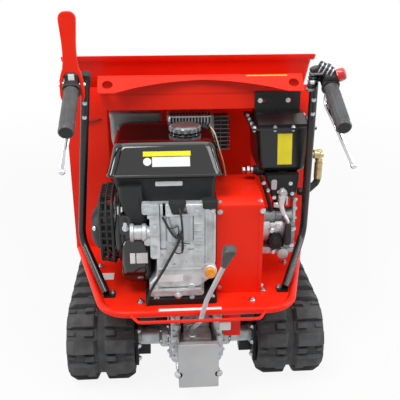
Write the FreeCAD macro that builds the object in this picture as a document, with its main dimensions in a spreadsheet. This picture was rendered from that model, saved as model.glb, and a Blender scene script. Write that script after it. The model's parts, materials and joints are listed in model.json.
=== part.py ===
"""Walk-behind mini tracked dumper with a hydraulic tipping skip.

Millimetres. +X is to the right as the operator stands behind the machine, +Y is
forward, towards the skip, and +Z is up. The origin is on the ground, under the
middle of the machine. Every Y station is measured from the rear axle.
"""

import FreeCAD, Part
import math
import os
import re
import Sketcher
from FreeCAD import Placement, Rotation, Vector

doc = FreeCAD.newDocument("TrackedDumper")

# ---------------------------------------------------------------- driving dimensions
SIZES = {
    # whole machine
    "axle_y": (-463.3, "rear axle, from the origin"),
    "overall_half_width": (350, "outer face of a track"),
    # tracks
    "wheelbase": (821, "drive sprocket to idler"),
    "track_width": (180, "rubber track width"),
    "belt_inner_radius": (82, "inside of the rubber belt"),
    "belt_thickness": (18, "rubber belt without its lugs"),
    "lug_height": (15, "tread lug height"),
    "lug_count": (37, "lugs round one track"),
    "lug_share": (0.62, "lug length as a share of its pitch"),
    "seat_gap": (0.3, "gap between a curved face and its seat"),
    # running gear
    "beam_half_width": (32, "track frame beam, half its width"),
    "beam_below": (17, "track frame beam below the axle"),
    "beam_above": (27, "track frame beam above the axle"),
    "beam_start": (92, "rear end of the beam, from the axle"),
    "beam_end": (725, "front end of the beam, from the axle"),
    "skirt_thickness": (6, "side plate that holds the rollers"),
    "skirt_below": (65, "side plates below the axle"),
    "skirt_inset": (40, "side plates ahead of the first roller"),
    "skirt_end": (60, "side plates short of the beam's front end"),
    "roller_play": (4, "air between a roller and the beam"),
    "roller_axle": (8, "roller axle, radius"),
    "fork_reach": (26, "idler fork ahead of the idler's axle"),
    "fork_half_height": (15, "idler fork, half its height"),
    "stay_half": (18, "stay of the upper roller, half its length"),
    "stay_inset": (12, "stay below the inside of the belt"),
    "roller_first": (205, "first bottom roller, from the axle"),
    "roller_pitch": (138, "between bottom rollers"),
    "roller_count": (4, "bottom rollers a side"),
    "top_roller_play": (10, "upper roller above the beam"),
    "top_roller_at": (410, "upper roller, from the axle"),
    "wheel_half_width": (20, "sprocket and idler, half their width"),
    "sprocket_body_radius": (62, "sprocket disc under its teeth"),
    "sprocket_teeth": (12, "sprocket teeth"),
    "tooth_root_half": (11, "sprocket tooth, half its root"),
    "tooth_tip_half": (6, "sprocket tooth, half its tip"),
    "idler_axle": (10, "idler axle, radius"),
    "drive_shaft_radius": (18, "shaft from the flange to the sprocket"),
    "flange_inner": (160, "inner face of the track frame flange"),
    "flange_thickness": (8, "track frame flange"),
    "flange_half_height": (60, "track frame flange, half its height"),
    "flange_rear": (55, "track frame flange behind the axle"),
    "arm_length": (50, "arm between flange and beam, along the machine"),
    "axle_tube_radius": (24, "axle tube of the gearbox"),
    # main frame
    "rail_inner": (110, "inner face of a frame rail"),
    "rail_width": (40, "frame rail width"),
    "rail_low": (236, "underside of the frame rails"),
    "deck_top": (300, "top of the engine deck"),
    "deck_sheet": (4, "engine deck sheet"),
    "rail_start": (-125, "rear end of the rails, from the axle"),
    "rail_end": (865, "front end of the rails, from the axle"),
    "carrier_size": (50, "square tube that carries the track frames"),
    "carrier_rear": (205, "rear carrier tube, from the axle"),
    "carrier_front": (625, "front carrier tube, from the axle"),
    # skip hinge and cylinder
    "hinge_at": (825, "skip hinge, from the axle"),
    "hinge_up": (345, "skip hinge height"),
    "hinge_pin_radius": (12.5, "skip hinge shaft"),
    "running_gap": (0.1, "radial play of a pin in its bore"),
    "ear_thickness": (10, "hinge ear on a frame rail"),
    "ear_gap": (4, "play between an ear and the skip's plate"),
    "cylinder_foot_at": (225, "pin of the cylinder's foot, from the axle"),
    "cylinder_foot_up": (256, "height of that pin"),
    "cylinder_eye_at": (700, "pin of the rod's eye, from the axle"),
    "cylinder_eye_up": (380, "height of that pin"),
    "barrel_radius": (25, "cylinder barrel"),
    "barrel_length": (330, "foot pin to the barrel's mouth"),
    "rod_radius": (14, "piston rod"),
    "rod_depth": (290, "rod inside the barrel"),
    "cylinder_pin_radius": (10, "pin of the cylinder's foot"),
    "eye_radius": (20, "eyes at both ends of the cylinder"),
    "eye_half_width": (15, "eye of the cylinder, half its width"),
    "lug_gap": (8, "play beside the rod's pin"),
    # skip
    "skip_rear": (195, "rear rim of the skip, from the axle"),
    "skip_front": (1195, "front rim of the skip, from the axle"),
    "skip_half_width": (347, "skip rim, half its width"),
    "skip_top": (872, "top of the rear rim"),
    "skip_lip": (650, "top of the front rim, which is lower"),
    "skip_floor": (430, "underside of the floor"),
    "floor_rear": (355, "rear edge of the floor, from the axle"),
    "floor_front": (860, "front edge of the floor, from the axle"),
    "floor_half_width": (285, "skip floor, half its width"),
    "skip_sheet": (3, "skip sheet"),
    "rim_height": (15, "folded rim"),
    "rim_overhang": (9, "folded rim outside the wall"),
    "cross_inset_rear": (64, "rear cross plate ahead of the floor's rear edge"),
    "cross_inset_front": (60, "front cross plate behind the floor's front edge"),
    "cross_drop": (18, "cross plates above the lower edge of the long plates"),
    "lug_half_top": (34, "lug of the rod's pin, half its length at the floor"),
    "lug_half_low": (20, "lug of the rod's pin, half its length at the pin"),
    "lug_bed": (6, "sheet that the lugs stand on"),
    "hinge_plate": (26, "skip plate around its hinge bore"),
    "plate_thickness": (8, "plates under the skip"),
    "plate_low": (370, "lower edge of those plates"),
    # deck, bumper and bulkhead
    "bumper_radius": (10, "bumper tube"),
    "bumper_rear": (-168, "bumper's rear run, from the axle"),
    "bumper_rear_half": (234, "bumper's rear corners before their bend, from the middle"),
    "bumper_front_half": (334, "half width at the bulkhead"),
    "bumper_bend": (78, "bend of the bumper's corners"),
    "guard_radius": (4, "rod that guards the gear lever"),
    "guard_half": (148, "guard rod's rear run, half its length"),
    "guard_rear": (-214, "guard rod, from the axle"),
    "guard_up": (300, "guard rod height"),
    "guard_flare": (20, "guard rod's ends outside its rear run"),
    "guard_bend": (14, "bend of the guard rod"),
    "tab_left": (68, "tab under the deck, left edge"),
    "tab_right": (112, "tab under the deck, right edge"),
    "tab_rear": (-130, "tab under the deck, from the axle"),
    "tab_sheet": (5, "tab under the deck, thickness"),
    "tab_drop": (105, "tab's lower edge below the top of the deck"),
    "bulkhead_at": (206, "rear face of the bulkhead, from the axle"),
    "bulkhead_half_width": (345, "bulkhead, half its width"),
    "bulkhead_top": (785, "top of the bulkhead"),
    "sheet": (3, "bulkhead and hood sheet"),
    "window_left": (-232, "left edge of the bulkhead's window"),
    "window_right": (176, "right edge of the window"),
    "window_low": (420, "sill of the window"),
    "window_high": (722, "head of the window"),
    # hood over the engine
    "hood_at": (118, "rear face of the hood, from the axle"),
    "hood_left": (-242, "left end of the hood"),
    "hood_right": (291, "right end of the hood"),
    "hood_low": (742, "lower edge of the hood"),
    "hood_top": (833, "top edge of the hood"),
    "visor_depth": (60, "visor plate at its ends"),
    "visor_waist": (20, "visor plate at its middle"),
    "visor_slope": (35, "visor plate below the level, degrees"),
    "visor_hole_radius": (14, "hole at each end of the visor"),
    "visor_hole_inset": (25, "hole from the end of the visor"),
    "visor_hole_up": (31, "hole from the upper edge"),
    # gearbox
    "gearbox_half_width": (75, "gearbox housing, half its width"),
    "gearbox_rear": (-85, "rear face of the gearbox, from the axle"),
    "gearbox_front": (70, "front face of the gearbox, from the axle"),
    "gearbox_low": (70, "underside of the gearbox"),
    "nose_half_width": (40, "gearbox nose, half its width"),
    "nose_rear": (-138, "rear face of the nose, from the axle"),
    "nose_low": (92, "underside of the nose"),
    "nose_top": (190, "top of the nose"),
    "shield_rear": (-180, "rear face of the shield plate, from the axle"),
    "shield_half_width": (52, "shield plate, half its width"),
    "shield_low": (72, "lower edge of the shield plate"),
    "shield_high": (204, "upper edge of the shield plate"),
    "lever_radius": (6, "gear lever rod"),
    "knob_radius": (17, "gear knob"),
    "knob_low_radius": (9, "gear knob at the rod"),
    "knob_taper": (50, "gear knob, its tapering part"),
    "knob_crown": (12, "gear knob, its straight part"),
    # engine
    "crank_at": (10, "crankshaft, from the axle"),
    "crank_up": (457, "crankshaft height"),
    "mount_height": (18, "engine mount"),
    "crankcase_left": (-118, "left face of the crankcase"),
    "crankcase_right": (50, "right face of the crankcase"),
    "crankcase_rear": (-127, "rear face of the crankcase, from the axle"),
    "crankcase_front": (95, "front face of the crankcase, from the axle"),
    "crankcase_top": (559, "top of the crankcase"),
    "head_front": (186, "front of the cylinder head, from the axle"),
    "fan_radius": (100, "fan housing"),
    "fan_width": (88, "fan housing along the crankshaft"),
    "cup_radius": (64, "recoil starter"),
    "cup_width": (34, "recoil starter along the crankshaft"),
    "tank_left": (-215, "left end of the fuel tank's rim"),
    "tank_right": (66, "right end of the fuel tank's rim"),
    "tank_rear": (-80, "rear of the fuel tank's rim, from the axle"),
    "tank_front": (184, "front of the fuel tank's rim, from the axle"),
    "tank_rim": (630, "height of the tank's rim"),
    "tank_top": (700, "top of the fuel tank"),
    "tank_taper": (20, "tank sides lean in by"),
    "tank_taper_rear": (40, "tank's rear face leans in by"),
    "cap_radius": (40, "fuel cap"),
    "cap_height": (22, "fuel cap"),
    "exhaust_left": (-66, "left end of the silencer"),
    "exhaust_right": (64, "right end of the silencer"),
    "cage_right": (114, "right end of the silencer's cage"),
    "rear_kit_near": (190, "silencer and air filter start, from the axle"),
    "rear_kit_far": (246, "silencer and air filter end, from the axle"),
    "filter_left": (-226, "left end of the air filter"),
    "filter_right": (-79, "right end of the air filter"),
    # belt cover and hydraulics
    "cover_left": (51, "left face of the belt cover"),
    "cover_right": (170, "right face of the belt cover"),
    "cover_rear": (-88, "rear face of the belt cover, from the axle"),
    "cover_front": (126, "front face of the belt cover, from the axle"),
    "cover_top": (561, "top of the belt cover"),
    "oil_left": (163, "oil tank, left side under the flange"),
    "oil_right": (302, "oil tank, right side under the flange"),
    "oil_rear": (27, "oil tank, rear side, from the axle"),
    "oil_front": (188, "oil tank, front side, from the axle"),
    "oil_flange_gap": (6, "oil tank flange short of the bulkhead"),
    "oil_low": (588, "underside of the oil tank"),
    "oil_flange": (708, "underside of the oil tank's flange"),
    "oil_flange_height": (6, "oil tank flange"),
    "oil_flange_lip": (15, "flange outside the tank"),
    "oil_taper": (12, "oil tank sides lean in by"),
    "pump_at": (35, "pump axis, from the axle"),
    "pump_up": (420, "pump axis height"),
    "pump_radius": (44, "pump body"),
    "valve_left": (190, "left face of the valve"),
    "valve_right": (282, "right face of the valve"),
    "valve_low": (524, "underside of the valve"),
    "hose_radius": (9, "hydraulic hose"),
    # handles
    "bar_radius": (10, "handle tube"),
    "bar_shift": (12, "handle tops set over to the right"),
    "grip_half_gap": (288, "grip centre from the handles' middle"),
    "grip_rise": (850, "front end of a grip"),
    "grip_front": (-138, "front end of a grip, from the axle"),
    "grip_length": (136, "grip"),
    "grip_drop": (25, "grip slope down to the rear, degrees"),
    "grip_radius": (17, "grip"),
    "foot_half_gap": (236, "handle feet from the middle"),
    "foot_at": (-80, "handle feet, from the axle"),
    "knee_half_gap": (305, "knees of the handle tubes from the middle"),
    "knee_at": (45, "knees, from the axle"),
    "knee_up": (408, "height of the knees"),
    "bar_bend": (45, "bend of a handle tube at its knee"),
    "foot_pad_inner": (20, "handle's foot plate inside the tube's centre"),
    "foot_pad_outer": (7, "handle's foot plate outside the tube's centre"),
    "foot_pad_length": (30, "handle's foot plate, along the machine"),
    "foot_pad_thickness": (4, "handle's foot plate"),
    "bar_inset": (28, "top of a handle tube inside its grip's line"),
    "head_half_width": (19.4, "head that holds a grip, half its width"),
    "head_length": (41, "that head, ahead of the grip"),
    "head_half_height": (18, "that head, half its height"),
    "arm_half_height": (14, "arm from the head to the handle tube, half its height"),
    "arm_reach": (20, "that arm, along the machine"),
    "lever_rod": (5.5, "steering lever rod, radius"),
    "left_lever_splay": (20, "tip of the left steering lever, outside its grip"),
    "right_lever_splay": (38, "tip of the right steering lever, outside its grip"),
    "clutch_top": (1018, "top of the clutch lever"),
    # main frame's legs and ears
    "leg_inset": (5, "frame's legs, in from the rail's faces"),
    "ear_inset": (8, "hinge ears, in from the rail's outer face"),
    "hinge_ear_rear": (45, "hinge ear's foot, behind the pin"),
    "hinge_ear_front": (38, "hinge ear's foot, ahead of the pin"),
    "hinge_ear_half": (24, "hinge ear round the pin"),
    "hinge_ear_flat": (14, "hinge ear's flat crown, half its width"),
    "foot_ear_gap": (2, "play between cylinder foot and its ears"),
    "foot_ear_sheet": (10, "ears of the cylinder's foot, thickness"),
    "foot_ear_rear": (45, "foot ear, behind the pin"),
    "foot_ear_half": (12, "foot ear, half its width"),
    "foot_ear_bulge": (18, "foot ear round the pin"),
    "foot_ear_drop": (5, "foot ear's rear corner, below the rail's top"),
    "cross_gearbox_start": (60, "cross member over the gearbox, from the rails' end"),
    "cross_gearbox_end": (120, "that cross member's front face"),
    "cross_foot_start": (75, "cross member behind the cylinder's foot"),
    "cross_foot_end": (44, "that cross member's front face, behind the foot"),
    "cross_nose": (40, "front cross member, depth"),
    "shaft_inset": (4, "hinge pin's ends, in from the rails' faces"),
    "carrier_drop": (4, "track carriers, below the track beams"),
    "rest_start": (25, "rubber rest, ahead of the skip floor's rear edge"),
    "rest_end": (60, "rubber rest's front face"),
    "rest_inset": (9, "rubber rest, in from the rail's outer face"),
    # engine
    "mount_lip_left": (14, "engine mount past the crankcase, to the left"),
    "mount_lip_rear": (12, "engine mount past the crankcase, to the rear"),
    "case_cover_inset": (6, "crankcase's top cover, in from the left"),
    "case_cover_rise": (31, "crankcase's top cover, height"),
    "case_cover_ahead": (7, "crankcase's top cover, ahead of the tank's rear"),
    "head_inset_left": (30, "cylinder head, in from the crankcase's left"),
    "head_inset_right": (10, "cylinder head, in from the crankcase's right"),
    "head_low": (60, "cylinder head, above the mount"),
    "fan_foot_left": (12, "fan housing's foot, in from its left"),
    "fan_foot_half": (70, "fan housing's foot, half its length"),
    "fan_foot_up": (12, "fan housing's foot, above the mount"),
    "tank_lip": (3, "tank's seam past its walls"),
    "tank_seam": (4, "tank's seam, height"),
    "tank_front_taper": (8, "tank's front wall, how far its top leans back"),
    "cap_across": (-21, "fuel cap, from the middle"),
    "cap_at": (50, "fuel cap, from the axle"),
    "skirt_top_left": (13, "cover below the tank, top, in from the tank's left"),
    "skirt_top_right": (15, "cover below the tank, top, in from the tank's right"),
    "skirt_low_left": (30, "cover below the tank, foot, in from the tank's left"),
    "skirt_low_right": (18, "cover below the tank, foot, in from the tank's right"),
    "skirt_rear": (8, "cover below the tank, in from the tank's rear"),
    "skirt_front": (30, "cover below the tank, in from the tank's front"),
    # air filter and silencer
    "filter_below": (20, "air filter's underside, below the tank's rim"),
    "filter_above": (6, "air filter's top, below the window's edge"),
    "neck_left": (40, "air filter's neck, in from its right"),
    "neck_right": (6, "air filter's neck, past its right"),
    "neck_rear": (40, "necks of filter and silencer, behind the head's front"),
    "filter_neck_front": (14, "air filter's neck, behind its front"),
    "silencer_low": (20, "silencer, above the crankcase"),
    "silencer_above": (4, "silencer's top, below the window's edge"),
    "port_left": (20, "exhaust port, in from the silencer's left"),
    "port_right": (60, "exhaust port's right face"),
    "port_front": (20, "exhaust port, behind the silencer's front"),
    "cage_rear": (4, "silencer's cage, in from its rear"),
    "cage_front": (6, "silencer's cage, in from its front"),
    "cage_low": (28, "silencer's cage, below the tank's rim"),
    "cage_top": (4, "silencer's cage, above the tank"),
    # skip's plates
    "plate_start": (10, "long plates, ahead of the skip floor's rear edge"),
    "plate_level": (110, "long plates' level underside, ends behind the hinge"),
    "plate_nose": (10, "long plates' nose, ahead of and above the hinge"),
    "plate_end": (8, "long plates' top, short of the skip floor's front edge"),
    # shield
    "shield_corner": (20, "shield's sides, cut back at their corners"),
    "shield_hole_at": (22, "shield's pin hole, from its rear face"),
    "shield_hole_up": (36, "shield's pin hole, above its foot"),
    "shield_hole_radius": (6, "shield's pin hole radius"),
    # gear lever's bends
    "lever_foot_across": (-14, "gear lever's foot, from the middle"),
    "lever_foot_at": (-124, "gear lever's foot, from the axle"),
    "lever_foot_rise": (26, "gear lever's upright part"),
    "lever_bend_across": (3, "gear lever below the gate, from the middle"),
    "lever_bend_up": (285, "gear lever below the gate, height"),
    "gate_across": (18, "gear lever above the gate, from the middle"),
    "gate_up": (344, "gear lever above the gate, height"),
    "lever_top_across": (56, "gear lever's top, from the middle"),
    "lever_top_at": (-222, "gear lever's top, from the axle"),
    "lever_top_up": (452, "gear lever's top, height"),
    "lever_bend": (24, "bends of the gear lever and of the steering levers"),
    # steering levers, from a grip's front end
    "steer_at": (12, "steering lever's root, along the head"),
    "steer_drop": (50, "steering lever's first bend, below the grip"),
    "steer_knee_out": (6, "steering lever's knee, outwards"),
    "steer_knee_back": (50, "steering lever's knee, to the rear"),
    "steer_knee_drop": (74, "steering lever's knee, below the grip"),
    "steer_tip_back": (97, "steering lever's tip, to the rear"),
    "steer_tip_drop": (152, "steering lever's tip, below the grip"),
    # clutch lever, from the grip's front end
    "clutch_half": (27, "clutch lever's fork, half its width"),
    "clutch_mouth_half": (20, "clutch lever's slot, half its width at the foot"),
    "clutch_slot_half": (19.5, "clutch lever's slot, half its width at the top"),
    "clutch_drop": (24, "clutch lever's foot, below the grip"),
    "clutch_slot_up": (46, "top of the clutch lever's slot"),
    "clutch_shoulder_up": (36, "clutch lever's shoulder"),
    "clutch_neck_up": (62, "clutch lever's neck"),
    "clutch_neck_half": (15, "clutch lever's neck, half its width"),
    "clutch_paddle_half": (19, "clutch lever's paddle, half its width"),
    "clutch_crown_half": (11, "clutch lever's top edge, half its width"),
    "clutch_crown": (12, "clutch lever's corners, down from its top"),
    "clutch_thickness": (12, "clutch lever's thickness"),
    "clutch_ahead": (12, "clutch lever, ahead of the grip"),
    # throttle, from the right grip's front end
    "throttle_half": (13, "throttle body, half its width"),
    "throttle_rear": (4, "throttle body, rear face"),
    "throttle_front": (30, "throttle body, front face"),
    "throttle_low": (18, "throttle body, underside"),
    "throttle_high": (48, "throttle body, top"),
    "throttle_knob_radius": (13, "throttle knob radius"),
    "throttle_knob_length": (20, "throttle knob length"),
    "throttle_knob_at": (17, "throttle knob, along the grip"),
    "throttle_knob_up": (33, "throttle knob, above the grip"),
    # oil tank's lid and hanger, valve, pump and hose
    "oil_flange_rear": (8, "oil tank's flange, behind its body"),
    "oil_foot_inset": (4, "oil tank's foot, behind its front"),
    "oil_lid_left": (5, "lid and hanger, in from the tank's left"),
    "oil_lid_right": (8, "lid, in from the tank's right"),
    "oil_lid_rear": (10, "lid, in from the tank's rear"),
    "oil_lid_edge": (5, "lid's height at its rear edge"),
    "oil_lid_level": (34, "lid's level part at the hood"),
    "oil_lid_rise": (24, "lid's height at the hood"),
    "hanger_right": (10, "hanger, in from the tank's right"),
    "hanger_sheet": (4, "hanger's thickness"),
    "hanger_rise": (46, "hanger's top, above the hood's lower edge"),
    "valve_rear": (17, "valve's rear face, from the axle"),
    "valve_front": (77, "valve's front face, from the axle"),
    "valve_below": (10, "valve's top, below the oil tank"),
    "valve_neck_radius": (18, "valve's neck radius"),
    "valve_neck_across": (46, "valve's neck, from its left face"),
    "valve_neck_at": (60, "valve's neck, from the axle"),
    "pump_boss_length": (16, "boss between belt cover and pump"),
    "pump_boss_radius": (24, "pump's boss radius"),
    "pump_length": (74, "pump length"),
    "riser_radius": (11, "pipe between pump and valve, radius"),
    "riser_across": (56, "pipe between pump and valve, from the belt cover"),
    "riser_start": (30, "foot of that pipe, above the pump's middle"),
    "fitting_at": (45, "hose fitting, from the axle"),
    "fitting_up": (634, "hose fitting's level part, height"),
    "fitting_share": (0.557, "place of the fitting on the tank's leaning side, as a share of its taper"),
    "spigot_radius": (7, "hose fitting's level part, radius"),
    "spigot_reach": (24, "hose fitting, out from the tank's flange"),
    "elbow_across": (334, "hose fitting's upright part, from the middle"),
    "elbow_low": (606, "hose fitting's upright part, lower end"),
    "elbow_radius": (11, "hose fitting's upright part, radius"),
    "elbow_height": (40, "hose fitting's upright part, length"),
    "hose_turn_up": (556, "hose's outer bend, height"),
    "hose_turn_across": (306, "hose's inner bend, from the middle"),
    "hose_end_up": (529, "hose's end at the valve, height"),
    "hose_bend": (24, "bends of the hose"),
    # cylinder's inner lengths
    "barrel_start": (30, "barrel's tube, from its foot pin"),
    "barrel_neck": (34, "neck between the foot's eye and the barrel's tube"),
    "rod_play": (0.5, "play round the rod in the barrel"),
    "eye_pin_end": (3, "rod's pin past its eye, on each side"),
    "shank_end": (8, "rod's shank, short of its eye's middle"),
}

# ---------------------------------------------------------------- places worked out from them
PLACES = {
    "axle_up": "belt_inner_radius + belt_thickness + lug_height",
    "beam_low": "axle_up - beam_below",
    "beam_high": "axle_up + beam_above",
    "skirt_low": "axle_up - skirt_below",
    "ground_run": "axle_up - belt_inner_radius + seat_gap",
    "upper_run": "axle_up + belt_inner_radius - seat_gap",
    "roller_radius": "(beam_low - roller_play - ground_run) / 2",
    "top_roller_radius": "(upper_run - beam_high - top_roller_play) / 2",
    "idler_y": "axle_y + wheelbase",
    "track_middle": "overall_half_width - track_width / 2",
    "rail_outer": "rail_inner + rail_width",
    "rail_high": "deck_top - deck_sheet",
    "hinge_y": "axle_y + hinge_at",
    "foot_y": "axle_y + cylinder_foot_at",
    "eye_y": "axle_y + cylinder_eye_at",
    "plate_outer": "rail_inner + rail_width - ear_thickness - ear_gap - 8",
    "plate_inner": "plate_outer - plate_thickness",
    "bulkhead_y": "axle_y + bulkhead_at",
    "hood_y": "axle_y + hood_at",
    "crank_y": "axle_y + crank_at",
    "mount_top": "deck_top + mount_height",
    "fan_left": "crankcase_left - fan_width",
    "cup_left": "fan_left - cup_width",
    "oil_flange_top": "oil_flange + oil_flange_height",
    "bumper_up": "deck_top - deck_sheet",
    "bumper_lean": "(bumper_front_half - bumper_rear_half) / (bulkhead_at - bumper_rear)",
    "bend_reach": "bumper_bend * tan((90 - atan(bumper_lean) / 1 deg) / 2 * 1 deg)",
    "bend_x": "bumper_rear_half - bend_reach",
    "bend_y": "axle_y + bumper_rear + bumper_bend",
    "deck_bend": "bumper_bend - bumper_radius - seat_gap",
    "skip_slope": "(skip_top - skip_lip) / (skip_front - skip_rear)",
    "wall_half": "skip_half_width - rim_overhang",
    "wall_rear": "skip_rear + rim_overhang",
    "flare_share": "(skip_top - skip_floor) / (skip_lip - skip_floor)",
    "wall_front": "floor_front + (skip_front - rim_overhang - floor_front) * flare_share",
}

sheet = doc.addObject("Spreadsheet::Sheet", "Sizes")
for row, (alias, (number, meaning)) in enumerate(SIZES.items(), start=1):
    sheet.set("A%d" % row, meaning)
    sheet.set("B%d" % row, str(number))
    sheet.setAlias("B%d" % row, alias)
doc.recompute()

places = doc.addObject("Spreadsheet::Sheet", "Places")


def link(text):
    """Give each name in a formula its sheet."""
    def with_sheet(match):
        name = match.group()
        if name in SIZES:
            return "Sizes." + name
        if name in PLACES:
            return "Places." + name
        return name
    return re.sub(r"[a-z_][a-z_0-9]*", with_sheet, str(text))


for row, (alias, formula) in enumerate(PLACES.items(), start=1):
    places.set("A%d" % row, "=" + link(formula))
    places.setAlias("A%d" % row, alias)
doc.recompute()


def size(name):
    """The number a named cell holds."""
    owner = sheet if name in SIZES else places
    return float(getattr(owner, name))


# ---------------------------------------------------------------- helpers
AXIS_TURN = {
    "x": Rotation(Vector(0, 1, 0), 90),
    "y": Rotation(Vector(1, 0, 0), -90),
    "z": Rotation(),
}
SKETCH_PLANE = {"YZ": ("YZ_Plane", 1), "XZ": ("XZ_Plane", -1), "XY": ("XY_Plane", 1)}
nodes = []


def place(item, x, y, z, turn=None):
    """Bind an object's position to formulas, with an optional fixed turn."""
    item.Placement = Placement(Vector(), turn or Rotation())
    for letter, formula in zip("xyz", (x, y, z)):
        item.setExpression("Placement.Base." + letter, link(formula))
    return item


def block(name, x, y, z):
    """A box between low and high formulas along each axis."""
    item = doc.addObject("Part::Box", name)
    for side, (low, high) in zip(("Length", "Width", "Height"), (x, y, z)):
        item.setExpression(side, link("(%s) - (%s)" % (high, low)))
    return place(item, x[0], y[0], z[0])


def rod(name, axis, radius, start, length):
    """A cylinder that runs from start along +axis."""
    item = doc.addObject("Part::Cylinder", name)
    item.setExpression("Radius", link(radius))
    item.setExpression("Height", link(length))
    return place(item, *start, turn=AXIS_TURN[axis])


def frustum(name, low, high, bottom, top):
    """A solid with level rectangular ends; each end is ((x0, x1), (y0, y1))."""
    item = doc.addObject("Part::Wedge", name)
    (bx0, bx1), (by0, by1) = bottom
    (tx0, tx1), (ty0, ty1) = top
    limits = {
        "Ymin": "0", "Ymax": "(%s) - (%s)" % (high, low),
        "Xmin": bx0, "Xmax": bx1, "Zmin": "-(%s)" % by1, "Zmax": "-(%s)" % by0,
        "X2min": tx0, "X2max": tx1, "Z2min": "-(%s)" % ty1, "Z2max": "-(%s)" % ty0,
    }
    for side, formula in limits.items():
        item.setExpression(side, link(formula))
    return place(item, "0", "0", low, turn=Rotation(Vector(1, 0, 0), 90))


def fuse(name, parts):
    """One solid from several that touch or overlap."""
    item = doc.addObject("Part::MultiFuse", name)
    item.Shapes = parts
    item.Refine = True
    return item


def cut(name, base, tool):
    """Base less tool."""
    item = doc.addObject("Part::Cut", name)
    item.Base = base
    item.Tool = tool
    item.Refine = True
    return item


def hold_point(sketch, edge, end, x, y):
    """Fix one end of an edge at two formulas."""
    for kind, formula in (("DistanceX", x), ("DistanceY", y)):
        row = sketch.addConstraint(Sketcher.Constraint(kind, -1, 1, edge, end, 1.0))
        sketch.setExpression("Constraints[%d]" % row, link(formula))


def draw_outline(sketch, corners):
    """A closed outline of straight edges through the corners."""
    count = len(corners)
    first = sketch.GeometryCount
    flat = [Vector(*corner) for corner in numbers(corners)]
    for index in range(count):
        sketch.addGeometry(Part.LineSegment(flat[index], flat[(index + 1) % count]))
    for index in range(count):
        following = first + (index + 1) % count
        sketch.addConstraint(Sketcher.Constraint("Coincident", first + index, 2, following, 1))
        hold_point(sketch, first + index, 1, *corners[index])


def numbers(corners):
    """The values that pairs of formulas have now."""
    scratch = doc.addObject("Spreadsheet::Sheet", "Scratch")
    for row, (x, y) in enumerate(corners, start=1):
        scratch.set("A%d" % row, "=" + link(x))
        scratch.set("B%d" % row, "=" + link(y))
    scratch.recompute()
    found = [(float(scratch.get("A%d" % row)), float(scratch.get("B%d" % row)), 0.0)
             for row in range(1, len(corners) + 1)]
    doc.removeObject("Scratch")
    return found


def plate(name, plane, low, high, corners, holes=(), windows=()):
    """A flat plate: an outline, its round holes and its windows, padded from low to high."""
    body = doc.addObject("PartDesign::Body", name)
    role, way = SKETCH_PLANE[plane]
    sketch = body.newObject("Sketcher::SketchObject", name + "_outline")
    origin_plane = next(item for item in body.Origin.OriginFeatures if item.Role == role)
    sketch.AttachmentSupport = [(origin_plane, "")]
    sketch.MapMode = "FlatFace"
    offset = low if way > 0 else "-(%s)" % high
    sketch.setExpression("AttachmentOffset.Base.z", link(offset))
    draw_outline(sketch, corners)
    for window in windows:
        draw_outline(sketch, window)
    for x, y, radius in holes:
        circle = sketch.GeometryCount
        sketch.addGeometry(Part.Circle(Vector(*numbers([(x, y)])[0]), Vector(0, 0, 1), 5))
        hold_point(sketch, circle, 3, x, y)
        row = sketch.addConstraint(Sketcher.Constraint("Radius", circle, 5.0))
        sketch.setExpression("Constraints[%d]" % row, link(radius))
    pad = body.newObject("PartDesign::Pad", name + "_pad")
    pad.Profile = sketch
    pad.setExpression("Length", link("(%s) - (%s)" % (high, low)))
    return body


def path_with_bends(points, bend):
    """Straight runs joined by tangent arcs; bend is the arcs' radius."""
    points = [Vector(*point) for point in points]
    edges = []
    start = points[0]
    for before, corner, after in zip(points, points[1:], points[2:]):
        inward = (before - corner).normalize()
        outward = (after - corner).normalize()
        half = inward.getAngle(outward) / 2
        reach = bend / math.tan(half)
        arc_start = corner + inward * reach
        arc_end = corner + outward * reach
        middle = (inward + outward).normalize()
        arc_middle = corner + middle * (bend / math.sin(half) - bend)
        edges.append(Part.LineSegment(start, arc_start).toShape())
        edges.append(Part.Arc(arc_start, arc_middle, arc_end).toShape())
        start = arc_end
    edges.append(Part.LineSegment(start, points[-1]).toShape())
    return Part.Wire(edges)


def tube(name, points, radius, bend):
    """A round bar bent along a path. Its section is swept, so it is a plain feature."""
    spine = path_with_bends(points, bend)
    first = Vector(*points[0])
    direction = (Vector(*points[1]) - first).normalize()
    section = Part.Wire(Part.Circle(first, direction, radius).toShape())
    item = doc.addObject("Part::Feature", name)
    item.Shape = spine.makePipeShell([section], True, True)
    return item


def node(name, item):
    """Name a finished sub-part; its file takes the same name."""
    item.Label = name
    nodes.append(item)
    return item


def both_sides(make):
    """Make a sub-part on the left and on the right."""
    for side, sign in (("left", -1), ("right", 1)):
        make(side, sign)


def span(sign, inner, outer):
    """The X range between two distances from the middle, on one side."""
    if sign > 0:
        return inner, outer
    return "-(%s)" % outer, "-(%s)" % inner


# ---------------------------------------------------------------- tracks and running gear
def track_outline(radius_belt, radius_lug):
    """The track's outer outline, seen from the side: a belt with square lugs."""
    base = size("wheelbase")
    half_turn = math.pi * radius_belt
    length = 2 * base + 2 * half_turn
    pitch = length / size("lug_count")

    def point(travel, radius):
        travel = travel % length
        if travel < base:
            return Vector(0, travel, -radius)
        travel -= base
        if travel < half_turn:
            angle = travel / radius_belt
            return Vector(0, base + radius * math.sin(angle), -radius * math.cos(angle))
        travel -= half_turn
        if travel < base:
            return Vector(0, base - travel, radius)
        angle = (travel - base) / radius_belt
        return Vector(0, -radius * math.sin(angle), radius * math.cos(angle))

    corners = []
    lug = pitch * size("lug_share")
    for index in range(int(size("lug_count"))):
        start = index * pitch
        for travel, radius in ((0, radius_belt), (0, radius_lug), (lug, radius_lug), (lug, radius_belt)):
            corners.append(point(start + travel, radius))
        corners.append(point(start + (lug + pitch) / 2, radius_belt))
    return Part.Face(Part.makePolygon(corners + corners[:1]))


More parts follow.
